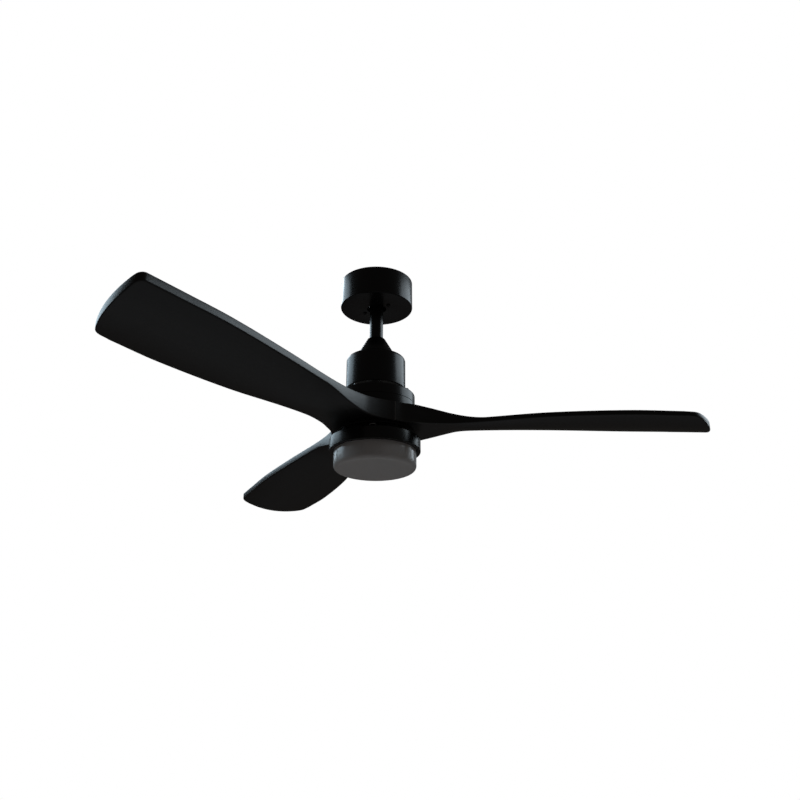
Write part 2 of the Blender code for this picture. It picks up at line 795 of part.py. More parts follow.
# ---- blades -------------------------------------------------------------------------------------
def smooth_rows(rows, spacing):
    """Rows of numbers read from a smooth curve through the given ones, at most spacing apart."""
    result = []
    last = len(rows) - 1
    for i in range(last):
        before, start, end, after = rows[max(i - 1, 0)], rows[i], rows[i + 1], rows[min(i + 2, last)]
        length = end[0] - start[0]
        steps = math.ceil(length / spacing)
        slope_in = [(b - a) / (end[0] - before[0]) for a, b in zip(before, end)]
        slope_out = [(b - a) / (after[0] - start[0]) for a, b in zip(start, after)]
        for k in range(steps):
            t = k / steps
            near, far = 2 * t**3 - 3 * t**2 + 1, 3 * t**2 - 2 * t**3
            leave, arrive = t**3 - 2 * t**2 + t, t**3 - t**2
            row = [
                near * p + far * q + length * (leave * m + arrive * n)
                for p, q, m, n in zip(start, end, slope_in, slope_out)
            ]
            row[0] = start[0] + length * t
            result.append(row)
    result.append(list(rows[-1]))
    return result


def fillet(before, corner, after, radius, steps):
    """Points along the arc that rounds a corner between two straight sides."""
    before, corner, after = Vector(before), Vector(corner), Vector(after)
    back, ahead = (before - corner).normalized(), (after - corner).normalized()
    half = back.angle(ahead) / 2
    centre = corner + (back + ahead).normalized() * radius / math.sin(half)
    start = corner + back * radius / math.tan(half) - centre
    sweep = start.angle_signed(corner + ahead * radius / math.tan(half) - centre)
    return [centre + Matrix.Rotation(-sweep * i / steps, 2) @ start for i in range(steps + 1)]


def side_at(side, x):
    """How far a side of the blade is from its centre line, at one distance along the blade."""
    for (x0, y0), (x1, y1) in zip(side, side[1:]):
        if x <= x1:
            return y0 + (y1 - y0) * (x - x0) / (x1 - x0)
    return side[-1][1]


def eased(x, start, end):
    """A smooth step from 0 at the start to 1 at the end."""
    t = min(1.0, max(0.0, (x - start) / (end - start)))
    return t * t * (3 - 2 * t)


def tip_end(y):
    return (TIP_REACH + TIP_SLANT * y - TIP_BOW * y * y, y)


def blade_rows():
    """Every cross-section of a blade as (distance, leading side, trailing side), in millimetres."""
    seam = math.tan(math.pi / BLADE_COUNT)
    plan = smooth_rows(BLADE_PLAN, 50)
    lead = [(x, side) for x, side, _ in plan]
    trail = [(x, -side) for x, _, side in plan]
    lead_corner, trail_corner = tip_end(TIP_LEAD), tip_end(TIP_TRAIL)
    tip = fillet(lead[-1], lead_corner, tip_end(TIP_LEAD - 20), TIP_LEAD_RADIUS, 5)
    tip += [tip_end(y) for y in (36, 20, 2, -16, -34, -52)]
    tip += fillet(tip_end(TIP_TRAIL + 25), trail_corner, trail[-1], TIP_TRAIL_RADIUS, 4)
    widest = max(range(len(tip)), key=lambda i: tip[i][0])
    lead += [tuple(p) for p in tip[: widest + 1]]
    trail += [tuple(p) for p in tip[:widest:-1]]
    end = lead[-1][0] - 0.5
    stops = sorted({round(x, 2) for x, _ in lead + trail if x < end - 2} | {end})
    rows = [[x, side_at(lead, x), side_at(trail, x)] for x in thinned(stops, 4.0)]
    root = [[x, x * seam - 0.4, 0.4 - x * seam] for x in (14.0, 24.0, 34.0)]
    return root + rows


def thinned(stops, least):
    """The stops that are at least some distance from the one kept before, and always the last."""
    kept = [stops[0]]
    for x in stops[1:-1]:
        if x - kept[-1] >= least:
            kept.append(x)
    return kept + [stops[-1]]


def blade_section(x, lead, trail):
    """The closed (y, z) outline of the blade at one distance along it, in metres."""
    drop = BLADE_DROOP * max(0.0, (x - 100 * mm) / (SWEEP_RADIUS - 100 * mm)) ** 2
    low, high = ROOT_BOTTOM - drop, ROOT_TOP - drop
    lead_cut = LEAD_CARVE * eased(x, 72 * mm, CARVE_END)
    trail_cut = TRAIL_CARVE * eased(x, 65 * mm, CARVE_END)
    carved = eased(x, 100 * mm, CARVE_END)
    belly, hollow = BELLY * carved, HOLLOW * carved
    # Near the tip's end only part of the section is left, so heights are read from the whole one.
    whole_lead, whole_trail = (lead, trail) if x < 580 * mm else (TIP_LEAD * mm, TIP_TRAIL * mm)

    def height(y, edge_height, rise, bow):
        share = (y - whole_trail) / (whole_lead - whole_trail)
        return edge_height + rise * share - bow * 4 * share * (1 - share)

    def below(y):
        return Vector((y, height(y, low, lead_cut, belly)))

    def above(y):
        return Vector((y, height(y, high - trail_cut, trail_cut, hollow)))

    edge = min(BLADE_EDGE * eased(x, 50 * mm, 110 * mm) + 0.2 * mm, (lead - trail) * 0.2)
    stops = [trail + (lead - trail) * share for share in (0.2, 0.4, 0.6, 0.8)]
    outline = [below(trail) + Vector((0, edge)), below(trail + edge)]
    outline += [below(y) for y in stops]
    outline += [below(lead - edge), below(lead) + Vector((0, edge))]
    outline += [above(lead) - Vector((0, edge)), above(lead - edge)]
    outline += [above(y) for y in reversed(stops)]
    outline += [above(trail + edge), above(trail) - Vector((0, edge))]
    return outline


def make_blade_mesh(wood):
    bm = bmesh.new()
    loops = []
    for x, lead, trail in blade_rows():
        outline = blade_section(x * mm, lead * mm, trail * mm)
        loops.append([bm.verts.new((x * mm, p.x, p.y)) for p in outline])
    for first, second in zip(loops, loops[1:]):
        for i in range(len(first)):
            k = (i + 1) % len(first)
            bm.faces.new((first[i], first[k], second[k], second[i]))
    bm.faces.new(loops[0][::-1])
    bm.faces.new(loops[-1])
    blade = finish_mesh("blade", bm, wood)
    ends = (ROOT_BOTTOM - 2 * mm, ROOT_TOP + 2 * mm)
    tools = [bar("bore", ROOT_BORE, (0, 0, ends[0]), (0, 0, ends[1]), None, ROUND)]
    for turn in (-30, 30):
        x, y, _ = polar(BLADE_SCREW_RADIUS, math.radians(turn), 0)
        tools.append(bar("screw_way", 3.5 * mm, (x, y, ends[0]), (x, y, ends[1]), None))
    cut(blade, *tools)
    mesh = blade.data
    bpy.data.objects.remove(blade)
    return mesh


def make_blades(wood):
    mesh = make_blade_mesh(wood)
    blades = []
    for i in range(BLADE_COUNT):
        blade = bpy.data.objects.new(f"blade_{i + 1}", mesh)
        blade.rotation_euler.z = math.tau * i / BLADE_COUNT
        bpy.context.scene.collection.objects.link(blade)
        blades.append(blade)
    return blades


def make_clamp_plate(metal):
    profile = [
        (24 * mm, CLAMP_BOTTOM),
        (CLAMP_RADIUS - 0.8 * mm, CLAMP_BOTTOM),
        (CLAMP_RADIUS, CLAMP_BOTTOM + 0.8 * mm),
        (CLAMP_RADIUS, CLAMP_TOP),
        (24 * mm, CLAMP_TOP),
    ]
    plate = turned("blade_clamp_plate", profile, metal)
    return cut(plate, *blade_screw_tools(3.5 * mm, CLAMP_BOTTOM - 1 * mm, CLAMP_TOP + 1 * mm, TINY_ROUND))


# ---- light --------------------------------------------------------------------------------------
def make_light_pan(paint):
    """The black drum that holds the light: a closed top, a side wall and a lip for the diffuser."""
    inner = PAN_RADIUS - PAN_WALL
    edge = 1.6 * mm
    profile = [
        (LIP_INNER, PAN_BOTTOM),
        *arc(PAN_RADIUS - edge, PAN_BOTTOM + edge, edge, -90, 0, 2),
        *arc(PAN_RADIUS - edge, PAN_TOP - edge, edge, 0, 90, 2),
        (SHAFT_RADIUS + 0.5 * mm, PAN_TOP),
        (SHAFT_RADIUS + 0.5 * mm, PAN_CEILING),
        (inner, PAN_CEILING),
        (inner, LIP_TOP),
        (LIP_INNER, LIP_TOP),
    ]
    pan = turned("light_pan", profile, paint)
    tools = [
        block(
            "bayonet_gap",
            (78 * mm, -7 * mm, PAN_BOTTOM - 1 * mm),
            (84.8 * mm, 7 * mm, LIP_TOP + 0.6 * mm),
            None,
            math.radians(turn + 22),
        )
        for turn in LUG_ANGLES
    ]
    for i in range(3):
        x, y, _ = polar(23 * mm, math.radians(30 + 120 * i), 0)
        tools.append(
            bar("hole", 2.4 * mm, (x, y, PAN_CEILING - 1 * mm), (x, y, PAN_TOP + 1 * mm), None)
        )
    return cut(pan, *tools)


def make_shaft_flange(steel):
    """The flange at the foot of the shaft that the light hangs from."""
    bore = SHAFT_RADIUS + GAP
    profile = [
        (bore, FLANGE_BOTTOM),
        (FLANGE_RADIUS, FLANGE_BOTTOM),
        (FLANGE_RADIUS, FLANGE_BOTTOM + 3 * mm),
        (15 * mm, FLANGE_BOTTOM + 3 * mm),
        (15 * mm, FLANGE_BOTTOM + 10 * mm),
        (bore, FLANGE_BOTTOM + 10 * mm),
    ]
    flange = turned("shaft_flange", profile, steel, segments=24)
    tools = []
    for i in range(3):
        x, y, _ = polar(23 * mm, math.radians(30 + 120 * i), 0)
        tools.append(
            bar("tap", 2.4 * mm, (x, y, FLANGE_BOTTOM - 1 * mm), (x, y, FLANGE_BOTTOM + 4 * mm), None)
        )
    return cut(flange, *tools)


def make_pan_screw(name, angle, steel):
    x, y, _ = polar(23 * mm, math.radians(angle), 0)
    return screw_below(name, x, y, PAN_CEILING, 6 * mm, 2 * mm, 3.8 * mm, 2.2 * mm, steel)


def make_shaft_nut(steel):
    top = PAN_CEILING - GAP
    nut = prism("shaft_nut", circle(0, 0, 15 * mm, 6), top - 5 * mm, top, steel)
    low, high = top - 6 * mm, top + 1 * mm
    return cut(nut, bar("bore", SHAFT_RADIUS + GAP, (0, 0, low), (0, 0, high), None, SMALL_ROUND))


def make_led_board(aluminium):
    """The round light board with its ring of light chips underneath."""
    profile = [(0, LED_TOP - 1.6 * mm), (72 * mm, LED_TOP - 1.6 * mm), (72 * mm, LED_TOP), (0, LED_TOP)]
    board = turned("led_board", profile, aluminium, segments=24, closed=False)
    chips = []
    low = LED_TOP - 2.4 * mm
    for radius, count in ((58, 10), (32, 5)):
        for i in range(count):
            chip = block(
                "chip",
                ((radius - 1.8) * mm, -1.8 * mm, low),
                ((radius + 1.8) * mm, 1.8 * mm, LED_TOP - 0.8 * mm),
                None,
                math.tau * i / count,
            )
            chips.append(chip)
    return join(board, *chips)


def make_led_driver(plastic):
    """The light's power supply, above the board and beside the shaft."""
    top = PAN_CEILING - 0.6 * mm
    return block("led_driver", (34 * mm, -26 * mm, LED_TOP + 0.6 * mm), (62 * mm, 26 * mm, top), plastic)


def make_diffuser(opal):
    """The opal bowl, with three lugs that sit on the pan's lip."""
    inner = DIFFUSER_RADIUS - DIFFUSER_WALL
    floor = DIFFUSER_BOTTOM + DIFFUSER_WALL
    centre = DIFFUSER_RADIUS - DIFFUSER_ROUND
    centre_z = DIFFUSER_BOTTOM + DIFFUSER_ROUND
    outer_round = arc(centre, centre_z, DIFFUSER_ROUND, -90, 0, 3)
    inner_round = arc(centre, centre_z, DIFFUSER_ROUND - DIFFUSER_WALL, 0, -90, 2)
    profile = [(0, DIFFUSER_BOTTOM), *outer_round, (DIFFUSER_RADIUS, DIFFUSER_RIM)]
    profile += [(inner, DIFFUSER_RIM), *inner_round, (0, floor)]
    bowl = turned("diffuser", profile, opal, closed=False)
    lugs = [
        block(
            "lug",
            (80 * mm, -5.5 * mm, LIP_TOP + 0.4 * mm),
            (84.3 * mm, 5.5 * mm, LIP_TOP + 3 * mm),
            None,
            math.radians(turn),
        )
        for turn in LUG_ANGLES
    ]
    return join(bowl, *lugs)


# ---- the whole fan ------------------------------------------------------------------------------
def build():
    for old in list(bpy.data.objects):
        bpy.data.objects.remove(old)

    black = material("black_paint", (0.012, 0.012, 0.013), 0.35)
    wood = material("black_wood", (0.014, 0.013, 0.012), 0.5)
    opal = material("opal_plastic", (0.8, 0.8, 0.79), 0.3)
    zinc = material("zinc_steel", (0.55, 0.56, 0.57), 0.35, 1.0)
    steel = material("bearing_steel", (0.6, 0.6, 0.6), 0.25, 1.0)
    core_steel = material("core_steel", (0.25, 0.25, 0.27), 0.5, 1.0)
    copper = material("copper_wire", (0.6, 0.25, 0.12), 0.4, 1.0)
    magnet = material("magnet_ferrite", (0.06, 0.06, 0.065), 0.6)
    nylon = material("nylon", (0.03, 0.03, 0.03), 0.5)
    white_plastic = material("white_plastic", (0.75, 0.75, 0.73), 0.5)
    green = material("circuit_board", (0.02, 0.2, 0.08), 0.5)
    aluminium = material("aluminium", (0.75, 0.76, 0.77), 0.4, 1.0)

    make_ceiling_plate(zinc)
    make_hanger_bracket(zinc)
    for i, side in enumerate((-1, 1)):
        make_bracket_nut(f"bracket_nut_{i + 1}", side, zinc)
    make_terminal_block(white_plastic)

    canopy = joint_empty("canopy_slide_axis", CANOPY_BOTTOM)
    ride(canopy, make_canopy(black))
    for i, side in enumerate((-1, 1)):
        ride(canopy, make_canopy_screw(f"canopy_screw_{i + 1}", side, black))

    ball = joint_empty("ball_centre", BALL_CENTRE)
    ride(ball, make_liner(nylon), make_hanger_ball(nylon), make_downrod(black))
    reach = 19 * mm
    ride(
        ball,
        bar(
            "ball_cross_pin",
            PIN_RADIUS,
            polar(-reach, BRACKET_TURN, PIN_Z),
            polar(reach, BRACKET_TURN, PIN_Z),
            steel,
        ),
        bar(
            "ball_set_screw",
            2.5 * mm,
            polar(ROD_RADIUS + GAP, BRACKET_TURN - math.pi / 2, BALL_CENTRE),
            polar(23 * mm, BRACKET_TURN - math.pi / 2, BALL_CENTRE),
            zinc,
        ),
    )
    ride(ball, make_yoke(zinc), make_clevis_pin(steel), make_clip(zinc))
    for i, side in enumerate((-1, 1)):
        ride(
            ball,
            bar(
                f"yoke_set_screw_{i + 1}",
                2.5 * mm,
                (0, side * (ROD_RADIUS + GAP), YOKE_SET_Z),
                (0, side * (YOKE_RADIUS + 2 * mm), YOKE_SET_Z),
                zinc,
            ),
        )
    ride(ball, make_upper_housing(black), make_housing_base(aluminium), make_driver_board(green))
    ride(ball, make_capacitor("capacitor_1", -60, aluminium), make_capacitor("capacitor_2", -110, aluminium))
    ride(ball, make_receiver(white_plastic), make_shaft(steel))
    ride(ball, make_stator_core(core_steel), make_winding(copper))
    inner_race = (SHAFT_RADIUS + GAP, 13.6 * mm)
    ride(
        ball,
        make_race("upper_bearing_inner", *inner_race, UPPER_BEARING_TOP - GAP, steel),
        make_race("lower_bearing_inner", *inner_race, LOWER_BEARING_TOP, steel),
    )
    ride(ball, make_shaft_flange(zinc), make_shaft_nut(zinc), make_light_pan(black))
    for i in range(3):
        ride(ball, make_pan_screw(f"pan_screw_{i + 1}", 30 + 120 * i, zinc))
    ride(ball, make_led_board(aluminium), make_led_driver(white_plastic))

    cover = joint_empty("cover_slide_axis", COVER_BOTTOM)
    ride(cover, make_coupling_cover(black))

    rotor = joint_empty("rotor_axis", ROTOR_SEAM)
    ride(
        rotor,
        make_rotor_shell("rotor_upper_shell", ROTOR_TOP, ROTOR_SEAM, UPPER_BEARING_TOP, black),
        make_rotor_shell("rotor_lower_shell", ROTOR_BOTTOM, ROTOR_SEAM - 0.4 * mm, LOWER_BEARING_TOP, black),
    )
    ring_top, ring_bottom = CORE_TOP + 2 * mm, CORE_BOTTOM - 2 * mm
    for name, inner, outer, look in (
        ("magnet_ring", 65.6 * mm, 70 * mm, magnet),
        ("rotor_back_iron", 70.3 * mm, 75 * mm, core_steel),
    ):
        profile = [(inner, ring_bottom), (outer, ring_bottom), (outer, ring_top), (inner, ring_top)]
        ride(rotor, turned(name, profile, look))
    outer_race = (17.4 * mm, BEARING_OUTER)
    ride(
        rotor,
        make_race("upper_bearing_outer", *outer_race, UPPER_BEARING_TOP - GAP, steel),
        make_race("lower_bearing_outer", *outer_race, LOWER_BEARING_TOP, steel),
    )
    for i in range(4):
        ride(rotor, make_rotor_screw(f"rotor_screw_{i + 1}", math.radians(-28 + 90 * i), zinc))
    ride(rotor, *make_blades(wood))
    ride(rotor, make_clamp_plate(black))
    for i in range(BLADE_COUNT * 2):
        x, y, _ = polar(BLADE_SCREW_RADIUS, math.radians(30 + 60 * i), 0)
        ride(
            rotor,
            screw_below(
                f"blade_screw_{i + 1}", x, y, CLAMP_BOTTOM, 43.7 * mm, 3 * mm, 6.5 * mm, 3.6 * mm, zinc
            ),
        )

    diffuser = joint_empty("diffuser_axis", DIFFUSER_RIM)
    ride(diffuser, make_diffuser(opal))


build()
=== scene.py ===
# A ceiling fan with three carved wooden blades and a round light, hung in a plain pale studio.
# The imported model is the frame. Every part that shows is modelled again in fine detail over it.

import json
import math

import bpy
from mathutils import Matrix, Vector


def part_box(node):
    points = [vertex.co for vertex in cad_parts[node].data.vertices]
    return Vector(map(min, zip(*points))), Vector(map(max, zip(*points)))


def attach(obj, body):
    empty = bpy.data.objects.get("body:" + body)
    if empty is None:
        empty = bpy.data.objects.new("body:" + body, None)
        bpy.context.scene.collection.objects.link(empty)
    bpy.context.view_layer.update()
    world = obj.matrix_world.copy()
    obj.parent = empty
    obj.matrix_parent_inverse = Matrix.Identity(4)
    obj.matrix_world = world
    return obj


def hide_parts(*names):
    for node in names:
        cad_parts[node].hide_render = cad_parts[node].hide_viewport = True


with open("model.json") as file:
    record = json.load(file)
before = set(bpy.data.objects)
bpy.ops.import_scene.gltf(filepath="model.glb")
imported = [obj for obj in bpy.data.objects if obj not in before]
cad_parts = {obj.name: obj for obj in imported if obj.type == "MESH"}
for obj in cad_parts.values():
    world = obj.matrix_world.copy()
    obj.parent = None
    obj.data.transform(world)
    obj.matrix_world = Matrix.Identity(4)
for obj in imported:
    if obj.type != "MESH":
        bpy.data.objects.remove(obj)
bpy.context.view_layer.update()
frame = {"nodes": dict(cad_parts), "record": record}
mm = 0.001
roundSteps = 144  # segments of the large turned parts
rodSteps = 96
screwSteps = 32
creaseAngle = 32  # in degrees: a corner sharper than this stays crisp
bladeCrease = 40


# Small modelling tools

def deselectAll():
    if bpy.context.object and bpy.context.object.mode != "OBJECT":
        bpy.ops.object.mode_set(mode="OBJECT")
    bpy.ops.object.select_all(action="DESELECT")


def pick(piece):
    deselectAll()
    piece.select_set(True)
    bpy.context.view_layer.objects.active = piece


def added(name):
    piece = bpy.context.object
    piece.name = name
    piece.data.name = name
    bpy.ops.object.transform_apply(location=True, rotation=True, scale=True)
    return piece


def editAll(piece):
    pick(piece)
    bpy.ops.object.mode_set(mode="EDIT")
    bpy.ops.mesh.select_all(action="SELECT")


def tidyMesh(piece, angle=creaseAngle):
    # doubles merged, faces turned outwards, round faces smooth and corners crisp
    editAll(piece)
    bpy.ops.mesh.remove_doubles(threshold=0.000004)
    bpy.ops.mesh.normals_make_consistent(inside=False)
    bpy.ops.object.mode_set(mode="OBJECT")
    bpy.ops.object.shade_smooth_by_angle(angle=math.radians(angle))


def arcPoints(centreR, centreZ, radius, startDeg, endDeg, steps=8):
    turns = [math.radians(startDeg + (endDeg - startDeg) * i / steps) for i in range(steps + 1)]
    return [(centreR + radius * math.cos(t), centreZ + radius * math.sin(t)) for t in turns]


def spun(name, outline, steps=roundSteps, ring=True):
    # a chain of edges drawn from one point, then spun about the fan's axis
    deselectAll()
    bpy.ops.mesh.primitive_plane_add(size=0.01, location=(outline[0][0], 0, outline[0][1]))
    piece = added(name)
    editAll(piece)
    bpy.ops.mesh.merge(type="CENTER")
    for here, there in zip(outline, outline[1:]):
        step = (there[0] - here[0], 0, there[1] - here[1])
        bpy.ops.mesh.extrude_vertices_move(TRANSFORM_OT_translate={"value": step})
    if ring:
        bpy.ops.mesh.select_all(action="DESELECT")
        bpy.ops.object.mode_set(mode="OBJECT")
        piece.data.vertices[0].select = True
        piece.data.vertices[len(outline) - 1].select = True
        bpy.ops.object.mode_set(mode="EDIT")
        bpy.ops.mesh.edge_face_add()
    bpy.ops.mesh.select_all(action="SELECT")
    bpy.ops.mesh.spin(steps=steps, angle=math.tau, center=(0, 0, 0), axis=(0, 0, 1))
    tidyMesh(piece)
    return piece


def rodBetween(name, start, end, radius, steps=screwSteps):
    start, end = Vector(start), Vector(end)
    along = end - start
    turn = along.to_track_quat("Z", "Y").to_euler()
    deselectAll()
    bpy.ops.mesh.primitive_cylinder_add(
        vertices=steps, radius=radius, depth=along.length, location=(start + end) / 2, rotation=turn
    )
    return added(name)


def boxAt(name, low, high, turn=0.0):
    low, high = Vector(low), Vector(high)
    middle = Matrix.Rotation(turn, 3, "Z") @ ((low + high) / 2)
    deselectAll()
    bpy.ops.mesh.primitive_cube_add(size=1, location=middle, rotation=(0, 0, turn), scale=high - low)
    return added(name)


def shaped(piece, kind, **settings):
    # one modifier, set and applied
    pick(piece)
    step = piece.modifiers.new(kind.title(), kind)
    for key, value in settings.items():
        setattr(step, key, value)
    bpy.ops.object.modifier_apply(modifier=step.name)


def carve(piece, cutters, operation="DIFFERENCE"):
    for cutter in cutters:
        shaped(piece, "BOOLEAN", object=cutter, operation=operation, solver="EXACT")
        bpy.data.objects.remove(cutter)
    pick(piece)
    bpy.ops.object.shade_smooth_by_angle(angle=math.radians(creaseAngle))


def copied(piece, name, turn=0.0, move=(0, 0, 0)):
    twin = piece.copy()
    twin.data = piece.data.copy()
    twin.name = twin.data.name = name
    bpy.context.scene.collection.objects.link(twin)
    twin.data.transform(Matrix.Translation(move) @ Matrix.Rotation(turn, 4, "Z"))
    return twin


def drillHoles(piece, spots, bottom, top, radius):
    carve(piece, [rodBetween("cutter", (p.x, p.y, bottom), (p.x, p.y, top), radius) for p in spots])


def polar(radius, degrees):
    angle = math.radians(degrees)
    return Vector((radius * math.cos(angle), radius * math.sin(angle), 0))


def smoothStep(x, start, end):
    t = min(1.0, max(0.0, (x - start) / (end - start)))
    return t * t * (3 - 2 * t)


def place(piece, body, finish, slotName, *nodes):
    # the piece gets its finish, rides on its body and stands for its CAD nodes
    piece.data.materials.clear()
    piece.data.materials.append(finish)
    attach(piece, body)
    if nodes:
        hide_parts(*nodes)


# Finishes

def newNode(tree, kind, **inputs):
    node = tree.nodes.new(kind)
    for key, value in inputs.items():
        node.inputs[key].default_value = value
    return node


def makeFineGroup():
    # fine bumps and slow cloudy changes, shared by the paints, metals and plastics
    group = bpy.data.node_groups.new("fineSurface", "ShaderNodeTree")
    sockets = group.interface
    starts = {"Grain Scale": 900.0, "Cloud Scale": 14.0, "Rough Low": 0.3, "Rough High": 0.4}
    for name, value in starts.items():
        made = sockets.new_socket(name, in_out="INPUT", socket_type="NodeSocketFloat")
        made.default_value = value
    for name in ("Roughness", "Height", "Cloud"):
        sockets.new_socket(name, in_out="OUTPUT", socket_type="NodeSocketFloat")
    inside = group.nodes.new("NodeGroupInput")
    outside = group.nodes.new("NodeGroupOutput")
    place3d = group.nodes.new("ShaderNodeTexCoord")
    grain = newNode(group, "ShaderNodeTexNoise", Detail=3.0, Roughness=0.55)
    cloud = newNode(group, "ShaderNodeTexNoise", Detail=4.0, Roughness=0.6)
    smear = newNode(group, "ShaderNodeTexNoise", Detail=5.0, Roughness=0.65, Distortion=0.6)
    finer = group.nodes.new("ShaderNodeMath")  # the smears are this much finer than the clouds
    finer.operation = "MULTIPLY"
    finer.inputs[1].default_value = 3.7
    blend = group.nodes.new("ShaderNodeMath")
    blend.operation = "MULTIPLY"
    spread = newNode(group, "ShaderNodeMapRange")
    spread.inputs["From Min"].default_value = 0.12
    spread.inputs["From Max"].default_value = 0.42
    link = group.links.new
    for noise in (grain, cloud, smear):
        link(place3d.outputs["Object"], noise.inputs["Vector"])
    link(inside.outputs["Grain Scale"], grain.inputs["Scale"])
    link(inside.outputs["Cloud Scale"], cloud.inputs["Scale"])
    link(inside.outputs["Cloud Scale"], finer.inputs[0])
    link(finer.outputs[0], smear.inputs["Scale"])
    link(cloud.outputs["Fac"], blend.inputs[0])
    link(smear.outputs["Fac"], blend.inputs[1])
    link(blend.outputs[0], spread.inputs["Value"])
    link(inside.outputs["Rough Low"], spread.inputs["To Min"])
    link(inside.outputs["Rough High"], spread.inputs["To Max"])
    link(spread.outputs["Result"], outside.inputs["Roughness"])
    link(grain.outputs["Fac"], outside.inputs["Height"])
    link(cloud.outputs["Fac"], outside.inputs["Cloud"])
    return group


def makeDustGroup():
    # a thin film of dust on faces that look up
    group = bpy.data.node_groups.new("dustOnTop", "ShaderNodeTree")
    made = group.interface.new_socket("Amount", in_out="INPUT", socket_type="NodeSocketFloat")
    made.default_value = 0.3
    group.interface.new_socket("Dust", in_out="OUTPUT", socket_type="NodeSocketFloat")
    inside = group.nodes.new("NodeGroupInput")
    outside = group.nodes.new("NodeGroupOutput")
    shape = group.nodes.new("ShaderNodeNewGeometry")
    split = group.nodes.new("ShaderNodeSeparateXYZ")
    facing = newNode(group, "ShaderNodeMapRange")
    facing.inputs["From Min"].default_value = 0.55
    facing.inputs["From Max"].default_value = 0.98
    place3d = group.nodes.new("ShaderNodeTexCoord")
    specks = newNode(group, "ShaderNodeTexNoise", Scale=60.0, Detail=8.0, Roughness=0.7)
    keep = newNode(group, "ShaderNodeMapRange")
    keep.inputs["From Min"].default_value = 0.35
    keep.inputs["From Max"].default_value = 0.75
    together = group.nodes.new("ShaderNodeMath")
    together.operation = "MULTIPLY"
    scaled = group.nodes.new("ShaderNodeMath")
    scaled.operation = "MULTIPLY"
    link = group.links.new
    link(shape.outputs["Normal"], split.inputs[0])
    link(split.outputs["Z"], facing.inputs["Value"])
    link(place3d.outputs["Object"], specks.inputs["Vector"])
    link(specks.outputs["Fac"], keep.inputs["Value"])
    link(facing.outputs["Result"], together.inputs[0])
    link(keep.outputs["Result"], together.inputs[1])
    link(together.outputs[0], scaled.inputs[0])
    link(inside.outputs["Amount"], scaled.inputs[1])
    link(scaled.outputs[0], outside.inputs["Dust"])
    return group


fineGroup = makeFineGroup()
dustGroup = makeDustGroup()
dustColor = (0.22, 0.20, 0.18, 1)


def mixColors(tree, factor, first, second):
    # each of first and second is a colour or an output
    mix = tree.nodes.new("ShaderNodeMix")
    mix.data_type = "RGBA"
    tree.links.new(factor, mix.inputs["Factor"])
    for socket, value in ((mix.inputs[6], first), (mix.inputs[7], second)):
        if isinstance(value, tuple):
            socket.default_value = value
        else:
            tree.links.new(value, socket)
    return mix.outputs[2]


def surfaceFinish(name, values):
    # a paint, metal or plastic from its values
    made = bpy.data.materials.new(name)
    made.use_nodes = True
    tree = made.node_tree
    shader = tree.nodes["Principled BSDF"]
    fine = tree.nodes.new("ShaderNodeGroup")
    fine.node_tree = fineGroup
    fine.inputs["Grain Scale"].default_value = values["grainScale"]
    fine.inputs["Cloud Scale"].default_value = values.get("cloudScale", 14.0)
    fine.inputs["Rough Low"].default_value = values["rough"][0]
    fine.inputs["Rough High"].default_value = values["rough"][1]
    color = mixColors(tree, fine.outputs["Cloud"], (*values["dark"], 1), (*values["light"], 1))
    if values.get("dust"):
        dust = tree.nodes.new("ShaderNodeGroup")
        dust.node_tree = dustGroup
        dust.inputs["Amount"].default_value = values["dust"]
        color = mixColors(tree, dust.outputs["Dust"], color, dustColor)
    bump = newNode(tree, "ShaderNodeBump", Strength=values["bump"], Distance=0.0002)
    link = tree.links.new
    link(color, shader.inputs["Base Color"])
    link(fine.outputs["Roughness"], shader.inputs["Roughness"])
    link(fine.outputs["Height"], bump.inputs["Height"])
    link(bump.outputs["Normal"], shader.inputs["Normal"])
    shader.inputs["Metallic"].default_value = values.get("metallic", 0.0)
    for socket, value in values.get("shader", {}).items():
        shader.inputs[socket].default_value = value
    return made


